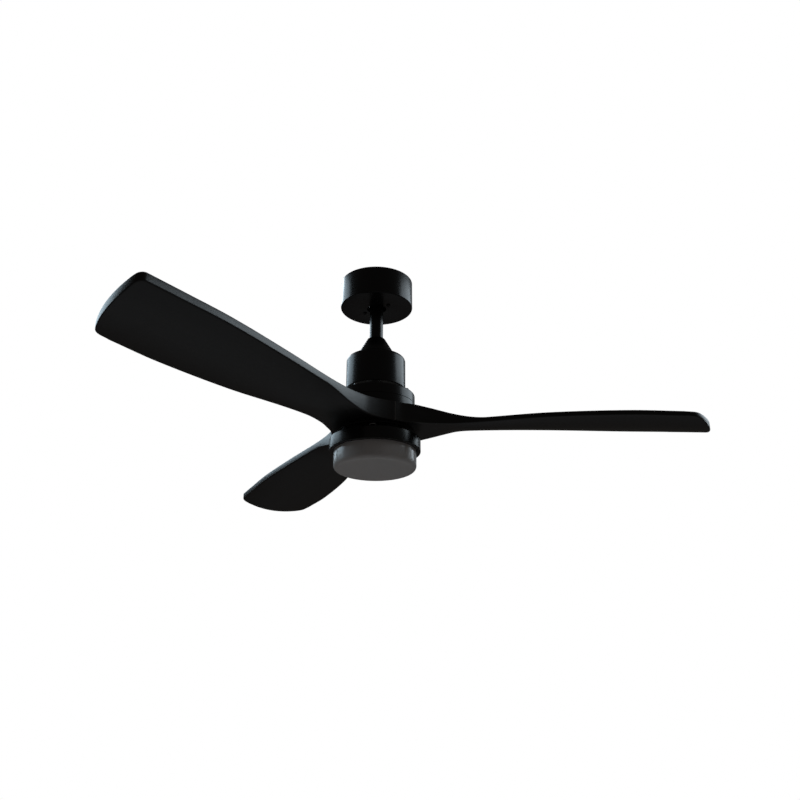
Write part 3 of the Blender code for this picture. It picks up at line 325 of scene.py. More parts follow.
paintLook = {
    "dark": (0.006, 0.0055, 0.0055), "light": (0.010, 0.0095, 0.0095), "rough": (0.24, 0.30),
    "grainScale": 1400.0, "cloudScale": 9.0, "bump": 0.02, "dust": 0.12,
}
opalLook = {
    "dark": (0.78, 0.75, 0.73), "light": (0.84, 0.81, 0.79), "rough": (0.19, 0.24),
    "grainScale": 700.0, "cloudScale": 8.0, "bump": 0.004,
    "shader": {"Subsurface Weight": 0.2, "Subsurface Radius": (1.0, 0.9, 0.8), "Subsurface Scale": 0.0012},
}
hiddenLooks = {
    "zinc_steel": {"dark": (0.42, 0.43, 0.44), "light": (0.62, 0.63, 0.64), "rough": (0.24, 0.44),
                   "grainScale": 500.0, "cloudScale": 60.0, "bump": 0.12, "metallic": 1.0},
    "bearing_steel": {"dark": (0.52, 0.52, 0.53), "light": (0.62, 0.62, 0.62), "rough": (0.14, 0.26),
                      "grainScale": 1200.0, "cloudScale": 40.0, "bump": 0.05, "metallic": 1.0},
    "core_steel": {"dark": (0.18, 0.18, 0.19), "light": (0.30, 0.30, 0.32), "rough": (0.4, 0.6),
                   "grainScale": 800.0, "cloudScale": 50.0, "bump": 0.25, "metallic": 1.0},
    "copper_wire": {"dark": (0.42, 0.13, 0.05), "light": (0.68, 0.28, 0.13), "rough": (0.25, 0.42),
                    "grainScale": 650.0, "cloudScale": 90.0, "bump": 0.6, "metallic": 1.0},
    "magnet_ferrite": {"dark": (0.04, 0.04, 0.042), "light": (0.08, 0.08, 0.085), "rough": (0.5, 0.7),
                       "grainScale": 1500.0, "cloudScale": 70.0, "bump": 0.3},
    "nylon": {"dark": (0.018, 0.018, 0.018), "light": (0.032, 0.032, 0.032), "rough": (0.4, 0.52),
              "grainScale": 900.0, "cloudScale": 30.0, "bump": 0.15},
    "white_plastic": {"dark": (0.66, 0.66, 0.63), "light": (0.78, 0.78, 0.75), "rough": (0.4, 0.5),
                      "grainScale": 1100.0, "cloudScale": 25.0, "bump": 0.12},
    "circuit_board": {"dark": (0.008, 0.09, 0.035), "light": (0.02, 0.2, 0.07), "rough": (0.3, 0.5),
                      "grainScale": 400.0, "cloudScale": 120.0, "bump": 0.3},
    "aluminium": {"dark": (0.62, 0.63, 0.64), "light": (0.78, 0.79, 0.8), "rough": (0.3, 0.46),
                  "grainScale": 900.0, "cloudScale": 40.0, "bump": 0.15, "metallic": 1.0},
}
woodLook = {
    "dark": (0.004, 0.0036, 0.0034), "middle": (0.009, 0.0082, 0.0076), "light": (0.024, 0.021, 0.019),
    # the next colour and its band, in metres from the seam, paint a highlight along the seam between two
    # blades
    "seamHighlight": (0.16, 0.145, 0.13), "seamHighlightGap": (0.0004, 0.0022),
    "rough": (0.28, 0.40), "poreBump": 0.3, "gloss": 0.6, "dust": 0.22,
}


def makeWoodGroup():
    # black stain over open grain along a blade, with a painted highlight where two blades meet: a thin,
    # much lighter band along the seam
    group = bpy.data.node_groups.new("stainedGrainSeamHighlight", "ShaderNodeTree")
    sockets, link = group.interface, group.links.new
    sockets.new_socket("Turn", in_out="INPUT", socket_type="NodeSocketFloat")
    sockets.new_socket("Color", in_out="OUTPUT", socket_type="NodeSocketColor")
    for name in ("Roughness", "Height"):
        sockets.new_socket(name, in_out="OUTPUT", socket_type="NodeSocketFloat")
    inside = group.nodes.new("NodeGroupInput")
    outside = group.nodes.new("NodeGroupOutput")
    place3d = group.nodes.new("ShaderNodeTexCoord")
    along = group.nodes.new("ShaderNodeVectorRotate")  # turns the pattern to this blade's own direction
    along.rotation_type = "Z_AXIS"
    link(place3d.outputs["Object"], along.inputs["Vector"])
    link(inside.outputs["Turn"], along.inputs["Angle"])

    def stretched(scale, **values):
        mapping = group.nodes.new("ShaderNodeMapping")
        mapping.inputs["Scale"].default_value = scale
        noise = newNode(group, "ShaderNodeTexNoise", Scale=1.0, **values)
        link(along.outputs["Vector"], mapping.inputs["Vector"])
        link(mapping.outputs["Vector"], noise.inputs["Vector"])
        return noise.outputs["Fac"]

    def mathNode(operation, first, second, third=None):
        node = group.nodes.new("ShaderNodeMath")
        node.operation = operation
        for socket, value in zip(node.inputs, (first, second, third)):
            if isinstance(value, (int, float)):
                socket.default_value = value
            elif value is not None:
                link(value, socket)
        return node.outputs[0]

    bands = stretched((1.6, 34, 34), Detail=5.0, Roughness=0.6, Distortion=0.35)
    streaks = stretched((7, 300, 300), Detail=4.0, Roughness=0.65)
    pores = stretched((38, 1500, 1500), Detail=2.0, Roughness=0.5)
    ramp = group.nodes.new("ShaderNodeValToRGB")
    stops = ramp.color_ramp.elements
    stops[0].position, stops[0].color = 0.3, (*woodLook["dark"], 1)
    stops[1].position, stops[1].color = 0.78, (*woodLook["light"], 1)
    stops.new(0.52).color = (*woodLook["middle"], 1)
    link(mathNode("MULTIPLY_ADD", streaks, 0.45, mathNode("MULTIPLY", bands, 0.55)), ramp.inputs["Fac"])
    # how far a point is from the plane where this blade meets its neighbour
    split = group.nodes.new("ShaderNodeSeparateXYZ")
    link(along.outputs["Vector"], split.inputs[0])
    reach = mathNode("MULTIPLY", split.outputs["X"], math.tan(math.pi / 3))
    gap = mathNode("SUBTRACT", reach, mathNode("ABSOLUTE", split.outputs["Y"], 0.0))
    # painted highlight: close to the seam the stain turns into a much lighter colour
    seamHighlightMask = newNode(group, "ShaderNodeMapRange")
    seamHighlightMask.inputs["From Min"].default_value, seamHighlightMask.inputs["From Max"].default_value = woodLook["seamHighlightGap"]
    seamHighlightMask.inputs["To Min"].default_value, seamHighlightMask.inputs["To Max"].default_value = 1.0, 0.0
    link(gap, seamHighlightMask.inputs["Value"])
    color = mixColors(group, seamHighlightMask.outputs["Result"], ramp.outputs["Color"], (*woodLook["seamHighlight"], 1))
    dust = group.nodes.new("ShaderNodeGroup")
    dust.node_tree = dustGroup
    dust.inputs["Amount"].default_value = woodLook["dust"]
    link(mixColors(group, dust.outputs["Dust"], color, dustColor), outside.inputs["Color"])
    rough = newNode(group, "ShaderNodeMapRange")
    rough.inputs["To Min"].default_value, rough.inputs["To Max"].default_value = woodLook["rough"]
    link(streaks, rough.inputs["Value"])
    link(rough.outputs["Result"], outside.inputs["Roughness"])
    link(mathNode("ADD", pores, streaks), outside.inputs["Height"])
    return group


def woodFinish(name, turn):
    made = bpy.data.materials.new(name)
    made.use_nodes = True
    tree = made.node_tree
    link = tree.links.new
    shader = tree.nodes["Principled BSDF"]
    grain = tree.nodes.new("ShaderNodeGroup")
    grain.node_tree = woodGroup
    grain.inputs["Turn"].default_value = -turn
    bump = newNode(tree, "ShaderNodeBump", Strength=woodLook["poreBump"], Distance=0.0003)
    link(grain.outputs["Color"], shader.inputs["Base Color"])
    link(grain.outputs["Roughness"], shader.inputs["Roughness"])
    link(grain.outputs["Height"], bump.inputs["Height"])
    link(bump.outputs["Normal"], shader.inputs["Normal"])
    shader.inputs["Specular IOR Level"].default_value = woodLook["gloss"]
    return made


woodGroup = makeWoodGroup()
blackPaint = surfaceFinish("satinBlackPaint", paintLook)
opalPlastic = surfaceFinish("opalPlastic", opalLook)
hiddenFinishes = {name: surfaceFinish(name, values) for name, values in hiddenLooks.items()}
hiddenFinishes["black_paint"] = blackPaint
hiddenFinishes["opal_plastic"] = opalPlastic
woodFinishes = [woodFinish(f"blackWood{i + 1}", math.radians(120 * i)) for i in range(3)]
print("finishes made")

for entry in frame["record"]["subparts"]:
    node = frame["nodes"][entry["node"]]
    look = hiddenFinishes.get(entry["material_slot"], woodFinishes[0])
    node.data.materials.clear()
    node.data.materials.append(look)


# Canopy

canopyShape = {
    "wall": 1.5 * mm, "edge": 2.3 * mm, "hole": 20 * mm, "lip": 0.5 * mm,
    "screwRadius": 30 * mm, "screwTurns": (-32, 148), "screwHole": 2.4 * mm,
}
canopyScrewShape = {"head": 4 * mm, "rise": 2.4 * mm, "shank": 2 * mm, "length": 14 * mm, "facing": -1}
crossShape = {"arm": 0.62, "width": 0.16, "turn": 0.4, "nextTurn": 1.1}  # shares of the head, and angles


def makeCanopy():
    values = canopyShape
    low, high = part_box("canopy")
    radius, wall, edge, lip = high.x, values["wall"], values["edge"], values["lip"]
    outline = arcPoints(values["hole"] + lip, low.z + lip, lip, 180, 270, 4)
    outline += arcPoints(radius - edge, low.z + edge, edge, 270, 360, 10)
    outline += arcPoints(radius - wall / 2, high.z - wall / 2, wall / 2, 0, 180, 8)
    outline += arcPoints(radius - edge, low.z + edge, edge - wall, 360, 270, 5)
    outline += arcPoints(values["hole"] + lip, low.z + wall - lip, lip, 90, 180, 4)
    canopy = spun("canopyShell", outline)
    spots = [polar(values["screwRadius"], turn) for turn in values["screwTurns"]]
    drillHoles(canopy, spots, low.z - 2 * mm, low.z + 3 * mm, values["screwHole"])
    place(canopy, "canopy", blackPaint, "black_paint", "canopy")


def crossScrew(name, values):
    # a pan head with a cross recess, its face at the origin; facing -1 looks down, 1 looks up
    head, rise, shank = values["head"], values["rise"] * values["facing"], values["shank"]
    outline = [(0, rise)]
    crown = ((0.55, 0.97), (0.82, 0.8), (0.96, 0.5), (1, 0.2), (1, 0))
    outline += [(head * across, rise * up) for across, up in crown]
    if values["length"]:
        end = -values["facing"] * values["length"]
        outline += [(shank, 0), (shank, end + values["facing"] * shank * 0.6), (shank * 0.5, end), (0, end)]
    else:
        outline += [(0, 0)]
    screw = spun(name, outline, screwSteps, ring=False)
    arm, width = head * crossShape["arm"], head * crossShape["width"]
    bottom, top = sorted((rise * 1.2, rise * 0.45))
    sides = ((-arm, -width, bottom), (arm, width, top))
    turns = (crossShape["turn"], crossShape["turn"] + math.pi / 2)
    carve(screw, [boxAt("cutter", *sides, turn) for turn in turns])
    return screw


def placeScrews(screw, body, finish, slotName, spots):
    # the screw is copied to each spot, turned on its own axis, and each copy stands for its CAD node
    for i, (node, spot) in enumerate(spots):
        words = node.split("_")
        name = words[0] + "".join(word.capitalize() for word in words[1:])
        twin = copied(screw, name, turn=crossShape["nextTurn"] * i, move=spot)
        place(twin, body, finish, slotName, node)
    bpy.data.objects.remove(screw)


def boxMiddle(node):
    low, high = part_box(node)
    return low, (low + high) / 2


def makeCanopyScrews():
    spots = []
    for node in ("canopy_screw_1", "canopy_screw_2"):
        low, middle = boxMiddle(node)
        spots.append((node, (middle.x, middle.y, low.z + canopyScrewShape["rise"])))
    screw = crossScrew("canopyScrew", canopyScrewShape)
    placeScrews(screw, "canopy", blackPaint, "black_paint", spots)


makeCanopy()
makeCanopyScrews()
print("canopy made")


# Downrod and cover

rodShape = {
    "wall": 2.6 * mm, "lip": 0.6 * mm, "reach": 18 * mm,
    "ballPinHeight": -21 * mm, "ballPinHole": 3.3 * mm, "clevisHeight": -156 * mm, "clevisHole": 3.5 * mm,
}
coverShape = {
    "wall": 1.5 * mm, "topRadius": 17.5 * mm, "flare": 1.5 * mm, "drop": 2 * mm, "shoulder": 2.4 * mm,
    "collar": 4 * mm, "bore": 0.5 * mm,
}


def makeDownrod():
    values = rodShape
    low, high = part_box("downrod")
    radius, wall, lip = (high.x - low.x) / 2, values["wall"], values["lip"]
    outline = arcPoints(radius - wall + lip, low.z + lip, lip, 180, 270, 3)
    outline += arcPoints(radius - lip, low.z + lip, lip, 270, 360, 3)
    outline += [(radius, low.z + (high.z - low.z) * i / 8) for i in range(1, 8)]
    outline += arcPoints(radius - lip, high.z - lip, lip, 0, 90, 3)
    outline += arcPoints(radius - wall + lip, high.z - lip, lip, 90, 180, 3)
    rod = spun("downrodTube", outline, rodSteps)
    reach, pinZ, clevisZ = values["reach"], values["ballPinHeight"], values["clevisHeight"]
    across = polar(reach, canopyShape["screwTurns"][0])
    starts = ((-across.x, -across.y, pinZ), (-reach, 0, clevisZ))
    ends = ((across.x, across.y, pinZ), (reach, 0, clevisZ))
    holes = (values["ballPinHole"], values["clevisHole"])
    carve(rod, [rodBetween("cutter", *hole) for hole in zip(starts, ends, holes)])
    place(rod, "motor_unit", blackPaint, "black_paint", "downrod")


def makeCover():
    values = coverShape
    low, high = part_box("coupling_cover")
    rodLow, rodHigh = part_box("downrod")
    bottom, wall = high.x, values["wall"]
    bore = (rodHigh.x - rodLow.x) / 2 + values["bore"]
    shoulder = values["shoulder"]
    # the side leans out from just under the top edge to just above the bottom rim
    sideTop = values["topRadius"] + values["flare"]
    lean = math.atan2(bottom - sideTop, high.z - low.z - values["drop"] - 1.5 * mm)
    centre = sideTop - (values["drop"] - shoulder) * math.tan(lean) - shoulder / math.cos(lean)
    outline = [(bottom - wall * 1.05, low.z + 0.2 * mm), (bottom - wall * 0.7, low.z)]
    outline += [(bottom - 0.3 * mm, low.z), (bottom, low.z + 0.4 * mm), (bottom, low.z + 1.4 * mm)]
    outline += arcPoints(centre, high.z - shoulder, shoulder, math.degrees(lean), 90, 9)
    outline += arcPoints(bore + 0.6 * mm, high.z - 0.6 * mm, 0.6 * mm, 90, 180, 4)
    outline += [(bore, high.z - values["collar"]), (sideTop - wall, high.z - values["collar"] - 1.5 * mm)]
    cover = spun("couplingCone", outline)
    place(cover, "cover", blackPaint, "black_paint", "coupling_cover")


makeDownrod()
makeCover()
print("downrod and cover made")


# Upper housing

housingShape = {"wall": 1.6 * mm, "shoulder": 8 * mm, "hole": 19 * mm, "rimFold": 0.7 * mm}
baseShape = {"bore": 10.3 * mm, "boss": 16 * mm, "plate": 2 * mm, "recess": 0.6 * mm}


def makeUpperHousing():
    values = housingShape
    low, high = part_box("upper_housing")
    radius, wall, shoulder = high.x, values["wall"], values["shoulder"]
    fold = values["rimFold"]
    outline = arcPoints(radius - wall + fold, low.z + fold, fold, 180, 270, 4)
    outline += arcPoints(radius - fold, low.z + fold, fold, 270, 360, 4)
    outline += arcPoints(radius - shoulder, high.z - shoulder, shoulder, 0, 90, 14)
    outline += arcPoints(values["hole"] + 0.5 * mm, high.z - 0.5 * mm, 0.5 * mm, 90, 180, 3)
    outline += [(values["hole"], high.z - wall)]
    outline += arcPoints(radius - shoulder, high.z - shoulder, shoulder - wall, 90, 0, 10)
    housing = spun("upperHousingShell", outline)
    place(housing, "motor_unit", blackPaint, "black_paint", "upper_housing")


def makeHousingBase():
    values = baseShape
    low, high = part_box("housing_base")
    bore, boss, plateTop, recess = values["bore"], values["boss"], low.z + values["plate"], values["recess"]
    outline = [(bore, low.z), (boss + 4 * mm, low.z), (boss + 6 * mm, low.z + recess)]
    outline += [(high.x - 4 * mm, low.z + recess), (high.x - 3 * mm, low.z)]
    outline += arcPoints(high.x - 0.5 * mm, low.z + 0.5 * mm, 0.5 * mm, 270, 360, 3)
    outline += [(high.x, plateTop), (boss, plateTop)]
    outline += arcPoints(boss - 0.6 * mm, high.z - 0.6 * mm, 0.6 * mm, 0, 90, 3)
    outline += [(bore, high.z)]
    base = spun("housingBasePlate", outline)
    place(base, "motor_unit", blackPaint, "black_paint", "housing_base")


makeUpperHousing()
makeHousingBase()
print("upper housing made")


# Rotor

rotorShape = {
    "wall": 3 * mm, "shoulder": 2.6 * mm, "lowerShoulder": 1.2 * mm, "seamEdge": 0.35 * mm,
    "hole": 14 * mm, "seat": 21.3 * mm, "seatFloor": 2.7 * mm, "boss": 24.5 * mm, "bossLength": 15 * mm,
    "grooveRadius": 66 * mm, "grooveDepth": 0.3 * mm,
}
rotorScrewShape = {"head": 3.6 * mm, "rise": 2.8 * mm, "shank": 0, "length": 0, "facing": 1}
bladeScrewShape = {
    "head": 6.5 * mm, "rise": 3.6 * mm, "shank": 3 * mm, "facing": -1,
    "circle": 63 * mm, "shellHole": 3.3 * mm, "plateHole": 3.5 * mm,
}


def rotorCup(name, node, up):
    values = rotorShape
    low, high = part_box(node)
    face, seam = (high.z, low.z) if up > 0 else (low.z, high.z)
    radius, wall, hole = high.x, values["wall"], values["hole"]
    edge = values["shoulder"] if up > 0 else values["lowerShoulder"]
    fold, groove, depth = values["seamEdge"], values["grooveRadius"], values["grooveDepth"]
    seatEnd, bossEnd = face - up * values["seatFloor"], face - up * values["bossLength"]
    outline = [(radius - fold, seam), (radius, seam + up * fold)]
    outline += arcPoints(radius - edge, face - up * edge, edge, 0, up * 90, 8)
    if up > 0:  # a shallow step near the rim of the top face
        outline += [(groove + 0.3 * mm, face), (groove, face - depth)]
        outline += [(groove - 0.6 * mm, face - depth), (groove - 0.9 * mm, face)]
    outline += [(hole + 0.4 * mm, face), (hole, face - up * 0.4 * mm)]
    outline += [(hole, seatEnd), (values["seat"], seatEnd)]
    outline += [(values["seat"], bossEnd), (values["boss"], bossEnd), (values["boss"], face - up * wall)]
    outline += [(radius - wall, face - up * wall), (radius - wall, seam)]
    return spun(name, outline)


def bladeScrewSpots():
    return [polar(bladeScrewShape["circle"], 30 + 60 * i) for i in range(6)]


def makeRotor():
    upper = rotorCup("rotorUpperCup", "rotor_upper_shell", 1)
    place(upper, "rotor", blackPaint, "black_paint", "rotor_upper_shell")
    lower = rotorCup("rotorLowerCup", "rotor_lower_shell", -1)
    low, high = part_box("rotor_lower_shell")
    drillHoles(lower, bladeScrewSpots(), low.z - 1 * mm, low.z + 4 * mm, bladeScrewShape["shellHole"])
    place(lower, "rotor", blackPaint, "black_paint", "rotor_lower_shell")
    spots = []
    for i in range(4):
        low, middle = boxMiddle(f"rotor_screw_{i + 1}")
        spots.append((f"rotor_screw_{i + 1}", (middle.x, middle.y, low.z)))
    screw = crossScrew("rotorScrew", rotorScrewShape)
    placeScrews(screw, "rotor", hiddenFinishes["zinc_steel"], "zinc_steel", spots)


makeRotor()
print("rotor made")


# Blades

bladeShape = {
    # distance along the blade, then how far the leading and trailing sides are from its centre line, in mm
    "plan": [
        (43.5, 75.0, 75.0), (57, 66.0, 67.3), (78, 55.5, 60.8), (105, 46.5, 53.5), (150, 40.8, 50.0),
        (213, 42.5, 58.5), (330, 52.3, 82.0), (479, 62.2, 94.2), (580, 62.6, 90.6),
    ],
    "tipReach": 651.5, "tipSlant": 0.265, "tipBow": 0.0028, "tipLead": 62.5, "tipTrail": -87.0,
    "leadRadius": 12.0, "trailRadius": 30.0,
    "top": -297.0, "bottom": -335.0, "droop": 9.0, "leadCarve": 23.2, "trailCarve": 28.0,
    "belly": 10.5, "hollow": 6.0, "edge": 2.3, "seamEdge": 0.9, "bore": 34.0, "reach": 660.0,
    # where the carving starts and where it is complete, along the blade
    "leadStart": 72, "trailStart": 65, "hollowStart": 100, "carveEnd": 218,
    "seamStart": 14, "seamGap": 0.4,
}
seamPoints = 5
tipPoints = 8
sidePoints = 118  # points along each side, before the corner
cornerPoints = 12
endPoints = 26
edgeRings = 5


def smoothPlan(x):
    # leading and trailing distances from a smooth curve through the plan's rows
    rows = bladeShape["plan"]
    last = len(rows) - 1
    i = max(k for k in range(last) if rows[k][0] <= x or k == 0)
    before, start, end, after = rows[max(i - 1, 0)], rows[i], rows[i + 1], rows[min(i + 2, last)]
    length = end[0] - start[0]
    t = (x - start[0]) / length
    near, far = 2 * t**3 - 3 * t**2 + 1, 3 * t**2 - 2 * t**3
    leave, arrive = t**3 - 2 * t**2 + t, t**3 - t**2
    result = []
    for k in (1, 2):
        slopeIn = (end[k] - before[k]) / (end[0] - before[0])
        slopeOut = (after[k] - start[k]) / (after[0] - start[0])
        result.append(near * start[k] + far * end[k] + length * (leave * slopeIn + arrive * slopeOut))
    return result


def tipEnd(y):
    return Vector((bladeShape["tipReach"] + bladeShape["tipSlant"] * y - bladeShape["tipBow"] * y * y, y))


def cornerArc(before, corner, after, radius, steps):
    back, ahead = (before - corner).normalized(), (after - corner).normalized()
    half = back.angle(ahead) / 2
    centre = corner + (back + ahead).normalized() * radius / math.sin(half)
    start = corner + back * radius / math.tan(half) - centre
    sweep = start.angle_signed(corner + ahead * radius / math.tan(half) - centre)
    return [centre + Matrix.Rotation(-sweep * i / steps, 2) @ start for i in range(steps + 1)]


def bladeSides():
    # both long sides from the hub to the tip, with the same number of points
    values = bladeShape
    rootX, tipX = values["plan"][0][0], values["plan"][-1][0]
    seam = math.tan(math.pi / 3)
    lead, trail = [], []
    start, gap = values["seamStart"], values["seamGap"]
    for i in range(seamPoints):
        x = start + (rootX - start) * i / seamPoints
        lead.append(Vector((x, x * seam - gap)))
        trail.append(Vector((x, gap - x * seam)))
    for i in range(sidePoints + 1):
        share = i / sidePoints
        x = rootX + (tipX - rootX) * share**1.25  # closer together near the hub
        leadY, trailY = smoothPlan(x)
        lead.append(Vector((x, leadY)))
        trail.append(Vector((x, -trailY)))
    # each side runs on to a rounded corner, whose other leg points along the end
    for side, y, along, radius in (
        (lead, values["tipLead"], -20, values["leadRadius"]),
        (trail, values["tipTrail"], 25, values["trailRadius"]),
    ):
        arc = cornerArc(side[-1], tipEnd(y), tipEnd(y + along), radius, cornerPoints)
        rest = arc[0] - side[-1]
        side += [side[-1] + rest * k / tipPoints for k in range(1, tipPoints)]
        side += arc
    return lead, trail


def endCurve(start, end, steps):
    # between the two rounded corners, along the bowed end
    ys = [start.y + (end.y - start.y) * i / steps for i in range(1, steps)]
    return [tipEnd(y) for y in ys]


def bladeHeights(point):
    # the lower and upper face's heights at one place of the plan
    values = bladeShape
    x, y = point
    start, end = values["hollowStart"], values["carveEnd"]
    drop = values["droop"] * max(0.0, (x - start) / (values["reach"] - start)) ** 2
    low, high = values["bottom"] - drop, values["top"] - drop
    leadCut = values["leadCarve"] * smoothStep(x, values["leadStart"], end)
    trailCut = values["trailCarve"] * smoothStep(x, values["trailStart"], end)
    carved = smoothStep(x, start, end)
    if x < values["plan"][0][0]:
        leadY, trailY = values["plan"][0][1:]
    elif x < values["plan"][-1][0]:
        leadY, trailY = smoothPlan(x)
    else:
        leadY, trailY = values["tipLead"], -values["tipTrail"]
    share = (y + trailY) / (leadY + trailY)
    bow = 4 * share * (1 - share)
    lower = low + leadCut * share - values["belly"] * carved * bow
    upper = high - trailCut * (1 - share) - values["hollow"] * carved * bow
    return lower, upper


def placeGrid(name, columns, rows, point):
    # a grid primitive whose corners are moved one by one to where they belong
    deselectAll()
    bpy.ops.mesh.primitive_grid_add(x_subdivisions=columns, y_subdivisions=rows, size=1)
    grid = added(name)
    for vertex in grid.data.vertices:
        i = round((vertex.co.x + 0.5) * columns)
        j = round((vertex.co.y + 0.5) * rows)
        vertex.co = point(i, j)
    return grid


def makeBladeMesh():
    values = bladeShape
    lead, trail = bladeSides()
    tip = endCurve(trail[-1], lead[-1], endPoints)
    root = [trail[0].lerp(lead[0], i / endPoints) for i in range(1, endPoints)]
    outline = trail + tip + lead[::-1] + root[::-1]
    count = len(outline)
    normals = []
    for i in range(count):
        back = (outline[i] - outline[i - 1]).normalized()
        ahead = (outline[(i + 1) % count] - outline[i]).normalized()
        out = Vector((back.y + ahead.y, -back.x - ahead.x)).normalized()
        normals.append(out / max(0.5, out.dot(Vector((back.y, -back.x)))))

    def inset(i, distance):
        return outline[i % count] - normals[i % count] * distance

    def edgeSize(i):
        grown = smoothStep(outline[i % count].x, 46, 100)
        return values["seamEdge"] + (values["edge"] - values["seamEdge"]) * grown

    def edgeInset(i):
        return inset(i, edgeSize(i))

    def rimPoint(i, j):
        # rings run from the lower face round the edge to the upper face
        radius = edgeSize(i)
        if j <= edgeRings:
            turn = math.pi / 2 * j / edgeRings
            spot = inset(i, radius * (1 - math.sin(turn)))
            z = bladeHeights(spot)[0] + radius * (1 - math.cos(turn))
        else:
            turn = math.pi / 2 * (j - edgeRings - 1) / edgeRings
            spot = inset(i, radius * (1 - math.cos(turn)))
            z = bladeHeights(spot)[1] - radius * (1 - math.sin(turn))
        return Vector((spot.x, spot.y, z)) * mm

    across = len(lead) - 1
    last = 2 * across + endPoints
    trailRoot, trailTip = edgeInset(0), edgeInset(across)
    leadTip, leadRoot = edgeInset(across + endPoints), edgeInset(last)

    def facePoint(face, i, j):
        # a patch between the four inset sides: i runs from hub to tip, j from trailing to leading side
        u, v = i / across, j / endPoints
        low, high, near, far = edgeInset(i), edgeInset(last - i), edgeInset(-j), edgeInset(across + j)
        flat = low * (1 - v) + high * v + near * (1 - u) + far * u
        flat -= trailRoot * ((1 - u) * (1 - v)) + trailTip * (u * (1 - v))
        flat -= leadTip * (u * v) + leadRoot * ((1 - u) * v)
        return Vector((flat.x, flat.y, bladeHeights(flat)[face])) * mm

    rim = placeGrid("bladeRim", count, 2 * edgeRings + 1, rimPoint)
    lower = placeGrid("bladeLower", across, endPoints, lambda i, j: facePoint(0, i, j))
    upper = placeGrid("bladeUpper", across, endPoints, lambda i, j: facePoint(1, i, j))
    deselectAll()
    for part in (lower, upper, rim):
        part.select_set(True)
    bpy.context.view_layer.objects.active = rim
    bpy.ops.object.join()
    tidyMesh(rim, bladeCrease)
    under, over = (values["bottom"] - 3) * mm, (values["top"] + 3) * mm
    carve(rim, [rodBetween("cutter", (0, 0, under), (0, 0, over), values["bore"] * mm, roundSteps)])
    spots = [polar(bladeScrewShape["circle"], turn) for turn in (-30, 30)]
    drillHoles(rim, spots, under, over, bladeScrewShape["plateHole"])
    bpy.ops.object.shade_smooth_by_angle(angle=math.radians(bladeCrease))
    return rim


def makeBlades():
    first = makeBladeMesh()
    for i in range(3):
        blade = copied(first, f"blade{i + 1}", math.radians(120 * i))
        place(blade, "rotor", woodFinishes[i], "black_wood", f"blade_{i + 1}")
    bpy.data.objects.remove(first)


makeBlades()
print("blades made")


# Blade clamp and its screws

clampShape = {
    "bore": 24 * mm, "lip": 0.3 * mm, "edge": 0.8 * mm,
    "groove": (70 * mm, 70.6 * mm, 73.2 * mm, 73.8 * mm), "grooveDepth": 0.4 * mm,
}


def makeClamp():
    values = clampShape
    low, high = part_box("blade_clamp_plate")
    bore, lip, edge = values["bore"], values["lip"], values["edge"]
    outline = [(bore, low.z + lip), (bore + lip, low.z)]
    outline += [(x, low.z + z * values["grooveDepth"]) for x, z in zip(values["groove"], (0, 1, 1, 0))]
    outline += arcPoints(high.x - edge, low.z + edge, edge, 270, 360, 5)
    outline += [(high.x, high.z), (bore, high.z)]
    plate = spun("bladeClampPlate", outline)
    drillHoles(plate, bladeScrewSpots(), low.z - 1 * mm, high.z + 1 * mm, bladeScrewShape["plateHole"])
    place(plate, "rotor", blackPaint, "black_paint", "blade_clamp_plate")
    low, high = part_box("blade_screw_1")
    face = low.z + bladeScrewShape["rise"]
    screw = crossScrew("bladeScrew", {**bladeScrewShape, "length": high.z - face})
    spots = [(f"blade_screw_{i + 1}", (p.x, p.y, face)) for i, p in enumerate(bladeScrewSpots())]
    placeScrews(screw, "rotor", hiddenFinishes["zinc_steel"], "zinc_steel", spots)


makeClamp()
print("clamp made")


# Light

panShape = {
    "wall": 2 * mm, "edge": 1.7 * mm, "lip": 81.9 * mm, "lipHeight": 2 * mm, "shaftHole": 10.5 * mm,
    # gaps in the lip, where the diffuser's lugs pass it
    "gapStart": 78 * mm, "gapEnd": 84.8 * mm, "gapHalf": 7 * mm, "gapTurn": 22,
    "screwCircle": 23 * mm, "screwTurns": (30, 150, 270), "screwHole": 2.4 * mm,
}
diffuserShape = {
    "radius": 81 * mm, "wall": 2.2 * mm, "round": 8.4 * mm, "rim": 0.5 * mm,
    "lugs": (90, 210, 330), "lugStart": 80 * mm, "lugEnd": 84.3 * mm, "lugHalf": 5.5 * mm,
    "lugGap": 0.4 * mm, "lugHeight": 3 * mm, "lugEdge": 0.5 * mm,
}


def makePan():
    values = panShape
    low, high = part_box("light_pan")
    radius, wall, edge, lip = high.x, values["wall"], values["edge"], values["lip"]
    lipTop = low.z + values["lipHeight"]
    outline = arcPoints(lip + 0.4 * mm, low.z + 0.4 * mm, 0.4 * mm, 180, 270, 3)
    outline += arcPoints(radius - edge, low.z + edge, edge, 270, 360, 8)
    outline += arcPoints(radius - edge, high.z - edge, edge, 0, 90, 8)
    outline += [(values["shaftHole"], high.z), (values["shaftHole"], high.z - wall)]
    outline += [(radius - wall, high.z - wall), (radius - wall, lipTop), (lip, lipTop)]
    pan = spun("lightPanShell", outline)
    start = (values["gapStart"], -values["gapHalf"], low.z - 1 * mm)
    end = (values["gapEnd"], values["gapHalf"], lipTop + 0.6 * mm)
    turns = [math.radians(turn + values["gapTurn"]) for turn in diffuserShape["lugs"]]
    carve(pan, [boxAt("cutter", start, end, turn) for turn in turns])
    spots = [polar(values["screwCircle"], turn) for turn in values["screwTurns"]]
    drillHoles(pan, spots, high.z - 4 * mm, high.z + 1 * mm, values["screwHole"])
    place(pan, "motor_unit", blackPaint, "black_paint", "light_pan")


